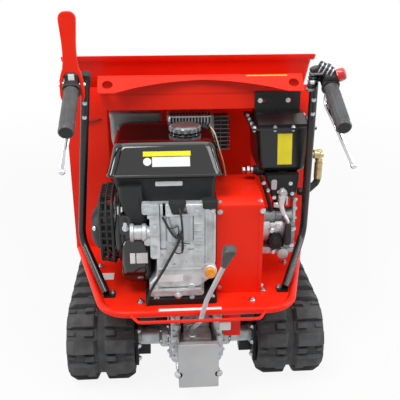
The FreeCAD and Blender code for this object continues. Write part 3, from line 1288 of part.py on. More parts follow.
def make_skip_frame():
    """Plates under the skip: two long ones on the hinge, a cross plate and the rod's lugs."""
    parts = []
    for sign in (-1, 1):
        mark = "left" if sign < 0 else "right"
        x = span(sign, "plate_inner", "plate_outer")
        parts.append(plate("skip_plate_" + mark, "YZ", x[0], x[1],
                           [("axle_y + floor_rear + plate_start", "plate_low"),
                            ("hinge_y - plate_level", "plate_low"),
                            ("hinge_y - hinge_plate", "hinge_up - hinge_plate"),
                            ("hinge_y + hinge_plate", "hinge_up - hinge_plate"),
                            ("hinge_y + hinge_plate + plate_nose", "hinge_up + plate_nose"),
                            ("axle_y + floor_front - plate_end", "skip_floor"),
                            ("axle_y + floor_rear + plate_start", "skip_floor")],
                           holes=[("hinge_y", "hinge_up", "hinge_pin_radius + running_gap")]))
        lug_x = span(sign, "eye_half_width + lug_gap", "eye_half_width + lug_gap + plate_thickness")
        lug_low = "cylinder_eye_up - lug_half_low"
        parts.append(plate("rod_lug_" + mark, "YZ", lug_x[0], lug_x[1],
                           [("eye_y - lug_half_low", lug_low), ("eye_y + lug_half_low", lug_low),
                            ("eye_y + lug_half_top", "skip_floor"), ("eye_y - lug_half_top", "skip_floor")]))
    across = ("-plate_inner - 1", "plate_inner + 1")
    for mark, start in (("rear", "axle_y + floor_rear + cross_inset_rear"),
                        ("front", "axle_y + floor_front - cross_inset_front")):
        parts.append(block("skip_cross_" + mark, across, (start, start + " + plate_thickness"),
                           ("plate_low + cross_drop", "skip_floor")))
    parts.append(block("skip_lug_bed", across, ("eye_y - lug_half_top", "eye_y + lug_half_top"),
                       ("skip_floor - lug_bed", "skip_floor")))
    node("skip_frame", fuse("skip_frame", parts))


def make_cylinder():
    """Barrel on its foot pin, and the rod that slides in it."""
    foot = Vector(0, size("foot_y"), size("cylinder_foot_up"))
    eye = Vector(0, size("eye_y"), size("cylinder_eye_up"))
    along = (eye - foot).normalize()
    length = (eye - foot).Length
    half = size("eye_half_width")

    def ring(centre):
        return Part.makeCylinder(size("eye_radius"), half * 2, centre - Vector(half, 0, 0), Vector(1, 0, 0))

    bore = size("rod_radius") + size("rod_play")
    start = size("barrel_start")
    shell = Part.makeCylinder(size("barrel_radius"), size("barrel_length") - start, foot + along * start,
                              along)
    neck = Part.makeCylinder(size("rod_radius"), size("barrel_neck"), foot, along)
    barrel = shell.fuse([neck, ring(foot)])
    hole = Part.makeCylinder(size("cylinder_pin_radius") + size("running_gap"), half * 4,
                             foot - Vector(half * 2, 0, 0), Vector(1, 0, 0))
    well = Part.makeCylinder(bore, size("barrel_length"), foot + along * size("barrel_neck"), along)
    item = doc.addObject("Part::Feature", "cylinder_barrel")
    item.Shape = barrel.cut(hole).cut(well).removeSplitter()
    node("cylinder_barrel", item)

    inside = size("barrel_length") - size("rod_depth") + 1
    shank = Part.makeCylinder(size("rod_radius"), length - inside - size("shank_end"),
                              foot + along * inside, along)
    pin_half = half + size("eye_pin_end")
    pin = Part.makeCylinder(size("cylinder_pin_radius"), pin_half * 2, eye - Vector(pin_half, 0, 0),
                            Vector(1, 0, 0))
    item = doc.addObject("Part::Feature", "cylinder_rod")
    item.Shape = shank.fuse([ring(eye), pin]).removeSplitter()
    node("cylinder_rod", item)


# ---------------------------------------------------------------- build, check and write
for make_pair in (make_track, make_track_frame, make_sprocket, make_idler, make_rollers,
                  make_axle_tube, make_handle):
    both_sides(make_pair)
for make_one in (make_main_frame, make_skip_rests, make_deck, make_bumper, make_bulkhead,
                 make_hood, make_gearbox, make_shield, make_gear_lever, make_engine,
                 make_starter_side, make_fuel_tank, make_rear_kit, make_belt_cover, make_hydraulics,
                 make_clutch_lever, make_throttle, make_skip, make_skip_frame, make_cylinder):
    make_one()
doc.recompute()

for item in doc.Objects:
    if {"Invalid", "Error"} & set(item.State):
        raise RuntimeError("%s did not build: %s" % (item.Label, item.State))
for item in nodes:
    if item.Shape.isNull() or not item.Shape.isValid() or not item.Shape.Solids:
        raise RuntimeError("%s has no valid solid" % item.Label)

os.makedirs("parts", exist_ok=True)
for item in nodes:
    item.Shape.exportStep("parts/%s.step" % item.Label)
whole = FreeCAD.BoundBox()
for item in nodes:
    whole.add(item.Shape.BoundBox)
print("%d nodes, box %s" % (len(nodes), whole))
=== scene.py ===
import json
import math
import bmesh
import bpy
from mathutils import Matrix, Vector
from mathutils.geometry import delaunay_2d_cdt


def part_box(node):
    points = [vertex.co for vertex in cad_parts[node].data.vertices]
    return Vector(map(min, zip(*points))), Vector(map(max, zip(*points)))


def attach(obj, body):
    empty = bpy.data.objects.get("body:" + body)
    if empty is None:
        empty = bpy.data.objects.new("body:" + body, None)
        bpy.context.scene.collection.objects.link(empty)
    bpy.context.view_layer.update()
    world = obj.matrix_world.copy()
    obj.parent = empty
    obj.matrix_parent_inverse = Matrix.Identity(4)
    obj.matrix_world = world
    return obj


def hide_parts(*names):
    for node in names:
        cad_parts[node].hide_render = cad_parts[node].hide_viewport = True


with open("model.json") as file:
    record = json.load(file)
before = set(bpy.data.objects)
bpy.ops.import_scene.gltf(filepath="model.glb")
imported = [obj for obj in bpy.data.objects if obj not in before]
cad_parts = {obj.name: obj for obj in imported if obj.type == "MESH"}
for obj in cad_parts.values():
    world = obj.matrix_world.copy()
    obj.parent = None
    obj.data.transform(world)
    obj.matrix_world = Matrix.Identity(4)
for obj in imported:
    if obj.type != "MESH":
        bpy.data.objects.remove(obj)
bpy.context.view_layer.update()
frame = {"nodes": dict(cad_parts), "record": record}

# Pieces are drawn in millimetres, measured along the ground from the drive axle.
MM = 0.001
WHEEL_LOW, WHEEL_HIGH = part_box("left_sprocket")
AXLE = (WHEEL_LOW.y + WHEEL_HIGH.y) / 2
TO_FRAME = Matrix.Translation((0, AXLE, 0)) @ Matrix.Scale(MM, 4)
X, Y, Z = Vector((1, 0, 0)), Vector((0, 1, 0)), Vector((0, 0, 1))
SIDES = (("left", -1), ("right", 1))
SHARP = math.radians(38)  # edges that fold by more than this stay crisp
MERGE, SLIVER = 0.002, 0.001  # corners this close are one; edges this short go
LINK_GAP = 0.05  # the ends of neighbouring links join across this much


# ------------------------------------------------------------------ materials
def linear(code):
    """An sRGB hex colour as the linear values that shaders take."""
    shares = [int(code[i:i + 2], 16) / 255 for i in (1, 3, 5)]
    return [c / 12.92 if c <= 0.04045 else ((c + 0.055) / 1.055) ** 2.4 for c in shares] + [1.0]


def per_mm(length):
    """Texture scale, in object coordinates, of a pattern that repeats over so many millimetres."""
    return 1 / (length * MM)


def add(tree, kind, feeds=None, **settings):
    """Add a node with its settings; feeds maps its inputs to values or to other nodes' outputs."""
    node = tree.nodes.new(kind)
    for name, value in settings.items():
        setattr(node, name, value)
    for name, value in (feeds or {}).items():
        if isinstance(value, bpy.types.NodeSocket):
            tree.links.new(value, node.inputs[name])
        else:
            node.inputs[name].default_value = value
    return node


def finish(name, light, dark, patch, grain, rough, depth, spread=0.12, stretch=(1, 1, 1), **constants):
    """A finish whose tone drifts over patches and whose gloss and relief follow a finer grain (mm)."""
    material = bpy.data.materials.new(name)
    material.use_nodes = True
    tree = material.node_tree
    shader = tree.nodes["Principled BSDF"]
    place = add(tree, "ShaderNodeTexCoord").outputs["Object"]
    place = add(tree, "ShaderNodeMapping", {"Vector": place, "Scale": stretch}).outputs["Vector"]
    drift = add(tree, "ShaderNodeTexNoise", {"Vector": place, "Scale": per_mm(patch), "Detail": 4.0})
    tone = add(tree, "ShaderNodeValToRGB", {"Fac": drift.outputs["Fac"]})
    for stop, position, colour in zip(tone.color_ramp.elements, (0.32, 0.62), (dark, light)):
        stop.position, stop.color = position, linear(colour)
    fine = add(tree, "ShaderNodeTexNoise", {"Vector": place, "Scale": per_mm(grain), "Detail": 3.0})
    gloss = add(tree, "ShaderNodeMapRange", {"Value": fine.outputs["Fac"], "To Min": rough - spread / 2,
                                             "To Max": rough + spread / 2})
    relief = add(tree, "ShaderNodeBump", {"Height": fine.outputs["Fac"], "Distance": depth * MM})
    tree.links.new(tone.outputs["Color"], shader.inputs["Base Color"])
    tree.links.new(gloss.outputs["Result"], shader.inputs["Roughness"])
    tree.links.new(relief.outputs["Normal"], shader.inputs["Normal"])
    for label, value in constants.items():
        shader.inputs[label.replace("_", " ").title().replace("Ior", "IOR")].default_value = value
    return material


# Red two-coat enamel, sprayed and stoved: a glossy skin with faint orange peel.
RED = finish("red enamel", "#f02a14", "#e6220d", 180, 3.5, 0.34, 0.012, specular_ior_level=0.15,
             coat_weight=0.05, coat_roughness=0.15)
# Black chassis paint on hot-rolled steel: satin, slightly uneven. The same black paints shade too: a strip in a
# recess at the engine's top and a block in an opening of the pump.
CHASSIS_BLACK_AND_PAINTED_SHADE = finish("black chassis paint and painted shade", "#19191a", "#121213", 90, 2.5, 0.46, 0.02, specular_ior_level=0.3)
# Gloss black powder coat on bent tube.
TUBE_BLACK = finish("gloss black powder coat", "#161617", "#101011", 60, 2.0, 0.26, 0.008, specular_ior_level=0.5)
# Stoved gloss black enamel of the pressed fuel tank.
TANK = finish("stoved black enamel", "#0d0d0e", "#070708", 120, 4.0, 0.1, 0.004, spread=0.05, coat_weight=0.5,
              coat_roughness=0.04)
# Vulcanised track rubber: matt, dusty, with a coarse mould grain.
TRACK_RUBBER = finish("vulcanised track rubber", "#4a4b4c", "#37383a", 26, 1.6, 0.82, 0.12)
# Sand-cast aluminium, left as cast: pale grey with a gritty skin.
CAST = finish("sand cast aluminium", "#ced2d3", "#a9adaf", 30, 1.1, 0.42, 0.05, metallic=0.5)
# Brushed aluminium of machined faces: fine upright lines.
BRUSHED = finish("brushed aluminium", "#c2c6c8", "#999da0", 20, 2.2, 0.36, 0.03, stretch=(1, 1, 0.06), metallic=0.65)
# Nickel-plated steel of the filler cap and the exhaust's wires: dull and darker.
CAP_STEEL = finish("dull nickel plated steel", "#85888a", "#6d7072", 14, 0.9, 0.38, 0.01, metallic=0.85)
# Light grey machine paint on folded sheet.
GREY = finish("light grey machine paint", "#b9babb", "#adaeb0", 70, 2.2, 0.40, 0.01, metallic=0.25)
# Zinc-plated steel of screws and wire: bright with a bluish cast.
ZINC = finish("zinc plated steel", "#cdd0d3", "#aeb2b6", 12, 0.8, 0.30, 0.008, metallic=1.0)
# Chromium plate over polished steel.
CHROME = finish("polished chromium plate", "#d4d7da", "#c6c9cc", 40, 1.5, 0.09, 0.0005, spread=0.04, metallic=1.0)
# Moulded glass-filled nylon: near black with a fine spark-eroded grain.
PLASTIC = finish("moulded black nylon", "#252627", "#1d1e1f", 45, 0.9, 0.50, 0.02, specular_ior_level=0.35)
# Moulded nitrile rubber of the hand grips and the gear knob.
GRIP = finish("moulded nitrile rubber", "#454647", "#38393a", 20, 0.8, 0.40, 0.02)
# Yellow-passivated steel of the hose fittings.
BRASS = finish("yellow passivated steel", "#c3b489", "#a3966d", 10, 0.8, 0.32, 0.01, metallic=0.9)
# Cloth-wrapped rubber hose.
HOSE = finish("wrapped rubber hose", "#222324", "#18191a", 8, 1.4, 0.66, 0.06)
# Glossy moulded ABS of the throttle knob. The same red paints a reflection too: a thin ring sunk in the fuel filler
# cap.
RED_ABS_AND_PAINTED_REFLECTION = finish("glossy red ABS and painted reflection", "#d3161c", "#bd0f16", 30, 1.2, 0.18, 0.004, coat_weight=0.3)
# Moulded grey polypropylene of the air filter housing.
FILTER = finish("grey polypropylene", "#93989a", "#868b8d", 40, 1.0, 0.48, 0.02)
# Orange moulded nylon of the oil filler's plug.
ORANGE = finish("orange moulded nylon", "#f0a02a", "#e28e1c", 12, 0.7, 0.35, 0.01)
# Self-adhesive vinyl, left blank: yellow and white.
YELLOW_VINYL = finish("yellow vinyl", "#f2e61c", "#e8dc14", 30, 1.0, 0.32, 0.003)
WHITE_VINYL = finish("white vinyl", "#eceded", "#dfe0e0", 30, 1.0, 0.34, 0.003)
# Cream polyethylene sleeve of a thin cable.
SLEEVE = finish("cream polyethylene sleeve", "#dccfa6", "#cfc096", 15, 0.9, 0.40, 0.004)

CAD_FINISHES = {
    "red_paint": RED, "black_paint": CHASSIS_BLACK_AND_PAINTED_SHADE, "track_rubber": TRACK_RUBBER, "cast_aluminium": CAST,
    "grey_paint": GREY, "zinc_steel": ZINC, "black_plastic": PLASTIC, "tank_black": TANK,
    "grip_rubber": GRIP, "chrome_rod": CHROME, "brass": BRASS, "hose_rubber": HOSE,
    "red_plastic": RED_ABS_AND_PAINTED_REFLECTION, "filter_grey": FILTER,
}
for part in frame["record"]["subparts"]:
    mesh = frame["nodes"][part["node"]].data
    mesh.materials.clear()
    mesh.materials.append(CAD_FINISHES[part["material_slot"]])


# ------------------------------------------------------------------ objects, curves and mesh data
def put(name, data):
    """A new object in the scene."""
    item = bpy.data.objects.new(name, data)
    bpy.context.scene.collection.objects.link(item)
    return item


def evaluated(item):
    """The object's mesh with its modifiers applied."""
    graph = bpy.context.evaluated_depsgraph_get()
    graph.update()
    return bpy.data.meshes.new_from_object(item.evaluated_get(graph), preserve_all_data_layers=True,
                                           depsgraph=graph)


def as_data(part, name):
    """A bmesh turned into mesh data."""
    data = bpy.data.meshes.new(name)
    part.to_mesh(data)
    part.free()
    return data


def join(mesh, data):
    """Move mesh data into a bmesh."""
    mesh.from_mesh(data)
    bpy.data.meshes.remove(data)


def curve_through(kind, points):
    """A curve of one spline through or near points."""
    curve = bpy.data.curves.new("curve", "CURVE")
    curve.dimensions = "3D"
    spline = curve.splines.new(kind)
    spline.points.add(len(points) - 1)
    for point, place in zip(spline.points, points):
        point.co = (*place, 1)
    return curve


# ------------------------------------------------------------------ solids, each in its own bmesh
def mm(node):
    """Lowest and highest corner of a CAD node, in millimetres from the drive axle."""
    low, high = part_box(node)
    return (low - Vector((0, AXLE, 0))) / MM, (high - Vector((0, AXLE, 0))) / MM


def even_turns(count):
    """The angles of so many even steps round a circle."""
    return [math.tau * i / count for i in range(count)]


def circle(centre, axis, radius, count):
    """Points round a circle."""
    across = axis.orthogonal().normalized()
    other = axis.normalized().cross(across)
    return [Vector(centre) + (across * math.cos(a) + other * math.sin(a)) * radius for a in even_turns(count)]


def hoop(line, thick):
    """Rings of a round bar along a closed line that lies in one plane across X."""
    rings = []
    for i, point in enumerate(line):
        out = (line[(i + 1) % len(line)] - line[i - 1]).normalized().cross(X)
        rings.append([point + X * (math.cos(t) * thick) + out * (math.sin(t) * thick) for t in even_turns(10)])
    return rings


def rounded(low, high, radius, steps=4):
    """A rectangle with rounded corners, as pairs of numbers, anticlockwise."""
    (x0, y0), (x1, y1) = low, high
    radius = max(0.01, min(radius, (x1 - x0) / 2.01, (y1 - y0) / 2.01))
    corners = ((x1 - radius, y0 + radius, -90), (x1 - radius, y1 - radius, 0),
               (x0 + radius, y1 - radius, 90), (x0 + radius, y0 + radius, 180))
    found = []
    for cx, cy, first in corners:
        for i in range(steps + 1):
            angle = math.radians(first + 90 * i / steps)
            found.append((cx + radius * math.cos(angle), cy + radius * math.sin(angle)))
    return found


def level(low, high, z, radius, steps=4):
    """A rounded rectangle at one height."""
    return [Vector((x, y, z)) for x, y in rounded(low, high, radius, steps)]


def loft(rings, ring_shaped=False, capped=True):
    """A skin over rings of equally many points; ring_shaped joins the last to the first."""
    part = bmesh.new()
    rows = [[part.verts.new(point) for point in ring] for ring in rings]
    pairs = list(zip(rows, rows[1:]))
    if ring_shaped:
        pairs.append((rows[-1], rows[0]))
    for a, b in pairs:
        for i in range(len(a)):
            j = (i + 1) % len(a)
            part.faces.new((a[i], a[j], b[j], b[i]))
    if capped and not ring_shaped:
        part.faces.new(rows[0])
        part.faces.new(rows[-1])
    return part


def stack(*rows):
    """A closed solid over rounded rectangles, each given as the level function takes it."""
    return loft([level(*each) for each in rows])


def bevel(part, width, steps, above=40, chosen=None):
    """Round the edges that fold by more than an angle, or the chosen ones."""
    edges = chosen
    if edges is None:
        limit = math.radians(above)
        edges = [e for e in part.edges if len(e.link_faces) == 2 and e.calc_face_angle(0) > limit]
    bmesh.ops.bevel(part, geom=edges, offset=width, offset_type="OFFSET", segments=steps, profile=0.5,
                    affect="EDGES", clamp_overlap=True)
    return part


def block(low, high, edge=1.5, corner=0, along="z"):
    """A box between two corners, with soft edges; the four along one axis may be rounder."""
    part = bmesh.new()
    low, high = Vector(map(min, low, high)), Vector(map(max, low, high))
    bmesh.ops.create_cube(part, size=1)
    bmesh.ops.scale(part, vec=high - low, verts=part.verts)
    bmesh.ops.translate(part, vec=(low + high) / 2, verts=part.verts)
    if corner:
        axis = "xyz".index(along)
        sides = [e for e in part.edges
                 if abs((e.verts[0].co - e.verts[1].co)[axis]) > (high - low)[axis] * 0.9]
        bevel(part, corner, 5, chosen=sides)
    if edge:
        bevel(part, edge, 2)
    return part


def lathe(start, axis, profile, sides):
    """A turned solid; the profile is pairs of distance along the axis and radius."""
    start, axis = Vector(start), Vector(axis).normalized()
    return loft([circle(start + axis * along, axis, max(radius, 0.001), sides) for along, radius in profile])


def rod(start, end, radius, edge, sides=24):
    """A turned rod with chamfered ends."""
    start, end = Vector(start), Vector(end)
    length = (end - start).length
    return lathe(start, end - start, ((0, 0), (0, radius - edge), (edge, radius), (length - edge, radius),
                                      (length, radius - edge), (length, 0)), sides)


def ball(centre, radius, sides):
    """A knob turned to a ball."""
    steps = sides // 2
    arc = [math.pi * i / steps for i in range(steps + 1)]
    return lathe(centre, Z, [(-radius * math.cos(a), radius * math.sin(a)) for a in arc], sides)


def bent(points, bend):
    """The middle line of a bar: straight runs joined by arcs."""
    points = [Vector(point) for point in points]
    line = [points[0]]
    for before, corner, after in zip(points, points[1:], points[2:]):
        inward, outward = (before - corner).normalized(), (after - corner).normalized()
        half = inward.angle(outward) / 2
        if bend <= 0 or half > math.radians(89.5):
            line.append(corner)
            continue
        reach = min(bend / math.tan(half), (before - corner).length * 0.49, (after - corner).length * 0.49)
        radius = reach * math.tan(half)
        middle = corner + (inward + outward).normalized() * radius / math.sin(half)
        first, last = corner + inward * reach - middle, corner + outward * reach - middle
        steps = max(2, round(math.degrees(first.angle(last)) / 11))
        line += [middle + first.slerp(last, i / steps).normalized() * radius for i in range(steps + 1)]
    line.append(points[-1])
    return line


def bar(points, radius, bend, sides, edge=0.6, flat=1.0):
    """A round or flattened bar along a bent line; radius may be one number or one at each end."""
    line = bent(points, bend)
    lengths = [0.0]
    for a, b in zip(line, line[1:]):
        lengths.append(lengths[-1] + (b - a).length)
    radii = (radius, radius) if isinstance(radius, (int, float)) else radius
    heading = (line[1] - line[0]).normalized()
    across = heading.orthogonal().normalized()
    if abs(heading.dot(X)) < 0.9:
        across = (X - heading * heading.dot(X)).normalized()
    rings = []
    for i, point in enumerate(line):
        before = (point - line[i - 1]).normalized() if i else heading
        after = (line[i + 1] - point).normalized() if i + 1 < len(line) else before
        tangent = (before + after).normalized()
        across = (across - tangent * across.dot(tangent)).normalized()
        other = tangent.cross(across)
        width = radii[0] + (radii[1] - radii[0]) * lengths[i] / lengths[-1]

        def section(shift, reach):
            """The bar's outline, shifted along it."""
            return [point + tangent * shift + (across * math.cos(a) + other * flat * math.sin(a)) * reach
                    for a in even_turns(sides)]

        if i == 0:
            rings += [section(0, width - edge), section(edge, width)]
        elif i == len(line) - 1:
            rings += [section(-edge, width), section(0, width - edge)]
        else:
            rings.append(section(0, width))
    return loft(rings)


def within(x, y, loop):
    """Whether a point lies inside a closed outline."""
    inside = False
    for (x0, y0), (x1, y1) in zip(loop, loop[1:] + loop[:1]):
        if (y0 > y) != (y1 > y) and x < x0 + (y - y0) * (x1 - x0) / (y1 - y0):
            inside = not inside
    return inside


def sheet(outline, holes, thick, place):
    """A flat sheet with holes; place is a matrix that stands it up, and it thickens along its own Z."""
    points, edges = [], []
    for loop in [outline] + list(holes):
        first = len(points)
        points += [Vector(p) for p in loop]
        edges += [(first + i, first + (i + 1) % len(loop)) for i in range(len(loop))]
    found, _, triangles, *_ = delaunay_2d_cdt(points, edges, [], 1, 1e-5)
    part = bmesh.new()
    low = [part.verts.new((p.x, p.y, 0)) for p in found]
    high = [part.verts.new((p.x, p.y, thick)) for p in found]
    for corners in triangles:
        x, y = sum(found[i].x for i in corners) / 3, sum(found[i].y for i in corners) / 3
        if not any(within(x, y, loop) for loop in holes):
            part.faces.new([low[i] for i in reversed(corners)])
            part.faces.new([high[i] for i in corners])
    rims = [e for e in part.edges if len(e.link_faces) == 1 and e.verts[0].co.z < thick / 2]
    above = dict(zip(low, high))
    for e in rims:
        a, b = e.verts
        part.faces.new((a, b, above[b], above[a]))
    bmesh.ops.transform(part, matrix=place, verts=part.verts)
    return part


def soften(part, width, steps):
    """Round the outer edges of a sheet, whose flat faces are first joined to one each."""
    bmesh.ops.remove_doubles(part, verts=part.verts, dist=MERGE)
    bmesh.ops.recalc_face_normals(part, faces=part.faces)
    bmesh.ops.dissolve_limit(part, angle_limit=0.02, verts=part.verts, edges=part.edges)
    return bevel(part, width, steps, above=60)


def wire(points, radius):
    """A thin wire or cable along one smooth curve."""
    curve = curve_through("NURBS", points)
    spline = curve.splines[0]
    spline.order_u = 3
    spline.use_endpoint_u = True
    spline.resolution_u = 5
    curve.bevel_depth = radius
    curve.bevel_resolution = 4
    curve.use_fill_caps = True
    host = put("wire", curve)
    part = bmesh.new()
    join(part, evaluated(host))
    bpy.data.objects.remove(host)
    return part


def label(corners, lay, sink=0.4):
    """A blank label, sunk a little into the face that it lies on."""
    return sheet(corners[::-1], [], 0.8, lay @ Matrix.Translation((0, 0, -sink)))


def hole(x, y, radius):
    """A round hole in a sheet."""
    return [(x + radius * math.cos(a), y - radius * math.sin(a)) for a in even_turns(24)]


def slot_hole(x, y, length, radius):
    """A slot with round ends, along X."""
    half_turn = [math.radians(a) for a in range(-90, 91, 15)]
    return [(x + way * (length / 2 + radius * math.cos(a)), y - way * radius * math.sin(a))
            for way in (1, -1) for a in half_turn]


def facing(origin, across, up):
    """The matrix that lays a sheet's own X and Y along two directions."""
    across, up = Vector(across).normalized(), Vector(up).normalized()
    turn = Matrix((across, up, across.cross(up))).transposed().to_4x4()
    return Matrix.Translation(Vector(origin)) @ turn


class Piece:
    """One visible piece in the making, from solids that touch or overlap."""

    def __init__(self, name):
        self.name = name
        self.mesh = bmesh.new()
        self.skins = []

    def index(self, skin):
        """The number of a finish on this piece, which is added if it is new."""
        if skin not in self.skins:
            self.skins.append(skin)
        return self.skins.index(skin)

    def take(self, skin, *parts):
        """Add closed solids in one finish: doubles merged, faces turned outwards."""
        for part in parts:
            bmesh.ops.remove_doubles(part, verts=part.verts, dist=MERGE)
            bmesh.ops.dissolve_degenerate(part, dist=SLIVER, edges=part.edges)
            bmesh.ops.recalc_face_normals(part, faces=part.faces)
            for face in part.faces:
                face.material_index = self.index(skin)
                face.smooth = True
            join(self.mesh, as_data(part, "scratch"))
        return self

    def take_mesh(self, data):
        """Add a mesh that Geometry Nodes made, with the materials it set."""
        for polygon in data.polygons:
            polygon.material_index = self.index(data.materials[polygon.material_index])
        join(self.mesh, data)
        return self

    def done(self, body, slot, *nodes):
        """Turn the solids into an object that rides on a body and stands for CAD nodes."""
        self.mesh.transform(TO_FRAME)
        data = as_data(self.mesh, self.name)
        for skin in self.skins:
            data.materials.append(skin)
        data.set_sharp_from_angle(angle=SHARP)
        piece = put(self.name, data)
        flatten = piece.modifiers.new("even shading", "WEIGHTED_NORMAL")
        flatten.keep_sharp = True
        piece.data = evaluated(piece)
        piece.modifiers.clear()
        bpy.data.meshes.remove(data)
        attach(piece, body)
        if nodes:
            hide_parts(*nodes)
        return piece


# ------------------------------------------------------------------ Geometry Nodes
def new_tree(name, *inputs):
    """An empty geometry tree with its geometry sockets and named inputs."""
    tree = bpy.data.node_groups.new(name, "GeometryNodeTree")
    tree.interface.new_socket("Geometry", in_out="INPUT", socket_type="NodeSocketGeometry")
    for label, kind in inputs:
        tree.interface.new_socket(label, in_out="INPUT", socket_type="NodeSocket" + kind)
    tree.interface.new_socket("Geometry", in_out="OUTPUT", socket_type="NodeSocketGeometry")
    return tree, tree.nodes.new("NodeGroupInput").outputs


def close_tree(tree, instances, material):
    """End a tree: instances made real, in their material."""
    real = add(tree, "GeometryNodeRealizeInstances", {"Geometry": instances})
    painted = add(tree, "GeometryNodeSetMaterial", {"Geometry": real.outputs[0], "Material": material})
    add(tree, "NodeGroupOutput", {"Geometry": painted.outputs[0]})
    return tree


def grow(tree, data, **values):
    """Run a tree on a mesh or curve and return the plain mesh that comes out."""
    host = put("host", data)
    modifier = host.modifiers.new("grow", "NODES")
    modifier.node_group = tree
    for socket in tree.interface.items_tree:
        if socket.in_out == "INPUT" and socket.name in values:
            modifier[socket.identifier] = values[socket.name]
    made = evaluated(host)
    bpy.data.objects.remove(host)
    return made


def shape_of(part):
    """A solid as mesh data, to be repeated."""
    bmesh.ops.remove_doubles(part, verts=part.verts, dist=MERGE)
    bmesh.ops.recalc_face_normals(part, faces=part.faces)
    for face in part.faces:
        face.smooth = True
    return as_data(part, "shape")


def row_tree():
    """Copies of a shape, an even step apart."""
    tree, given = new_tree("even row", ("Count", "Int"), ("Step", "Vector"), ("Material", "Material"))
    line = add(tree, "GeometryNodeMeshLine", {"Count": given["Count"], "Offset": given["Step"]}, mode="OFFSET")
    copies = add(tree, "GeometryNodeInstanceOnPoints", {"Points": line.outputs["Mesh"],
                                                        "Instance": given["Geometry"]})
    return close_tree(tree, copies.outputs[0], given["Material"])


def ring_tree():
    """Copies of a shape, turned evenly round an axis."""
    tree, given = new_tree("even ring", ("Count", "Int"), ("Centre", "Vector"), ("Axis", "Vector"),
                           ("Material", "Material"))
    back = add(tree, "ShaderNodeVectorMath", {0: given["Centre"], "Scale": -1.0}, operation="SCALE")
    home = add(tree, "GeometryNodeTransform", {"Geometry": given["Geometry"],
                                               "Translation": back.outputs["Vector"]})
    line = add(tree, "GeometryNodeMeshLine", {"Count": given["Count"], "Start Location": given["Centre"],
                                              "Offset": (0, 0, 0)}, mode="OFFSET")
    number = add(tree, "GeometryNodeInputIndex")
    share = add(tree, "ShaderNodeMath", {0: math.tau, 1: given["Count"]}, operation="DIVIDE")
    angle = add(tree, "ShaderNodeMath", {0: number.outputs[0], 1: share.outputs[0]}, operation="MULTIPLY")
    turn = add(tree, "FunctionNodeAxisAngleToRotation", {"Axis": given["Axis"], "Angle": angle.outputs[0]})
    copies = add(tree, "GeometryNodeInstanceOnPoints", {"Points": line.outputs["Mesh"], "Instance": home.outputs[0],
                                                        "Rotation": turn.outputs[0]})
    return close_tree(tree, copies.outputs[0], given["Material"])


def bolt_tree():
    """A hexagon head with its washer and thread end on every point, turned to the point's own aim."""
    tree, given = new_tree("bolts", ("Seed", "Int"), ("Material", "Material"))
    solids = []
    for sides, radius, low, high in ((20, 1.35, 0.0, 0.22), (6, 1.0, 0.22, 0.92), (12, 0.52, 0.92, 1.25)):
        solid = add(tree, "GeometryNodeMeshCylinder", {"Vertices": sides, "Radius": radius, "Depth": high - low})
        solids.append(add(tree, "GeometryNodeTransform", {"Geometry": solid.outputs["Mesh"],
                                                          "Translation": (0, 0, (low + high) / 2)}))
    head = add(tree, "GeometryNodeJoinGeometry")
    for solid in solids:
        tree.links.new(solid.outputs[0], head.inputs[0])
    aim = add(tree, "GeometryNodeInputNamedAttribute", {"Name": "aim"}, data_type="FLOAT_VECTOR")
    width = add(tree, "GeometryNodeInputNamedAttribute", {"Name": "width"}, data_type="FLOAT")
    stand = add(tree, "FunctionNodeAlignRotationToVector", {"Vector": aim.outputs["Attribute"]}, axis="Z")
    chance = add(tree, "FunctionNodeRandomValue", {"Seed": given["Seed"]}, data_type="FLOAT")
    for socket in chance.inputs:
        if socket.name == "Max" and socket.type == "VALUE":
            socket.default_value = math.tau / 6
    twist = add(tree, "FunctionNodeAxisAngleToRotation", {"Axis": (0, 0, 1)})
    tree.links.new(next(s for s in chance.outputs if s.type == "VALUE" and s.enabled), twist.inputs["Angle"])
    turn = add(tree, "FunctionNodeRotateRotation", {"Rotation": stand.outputs[0], "Rotate By": twist.outputs[0]},
               rotation_space="LOCAL")
    copies = add(tree, "GeometryNodeInstanceOnPoints", {"Points": given["Geometry"], "Instance": head.outputs[0],
                                                        "Rotation": turn.outputs[0],
                                                        "Scale": width.outputs["Attribute"]})
    return close_tree(tree, copies.outputs[0], given["Material"])


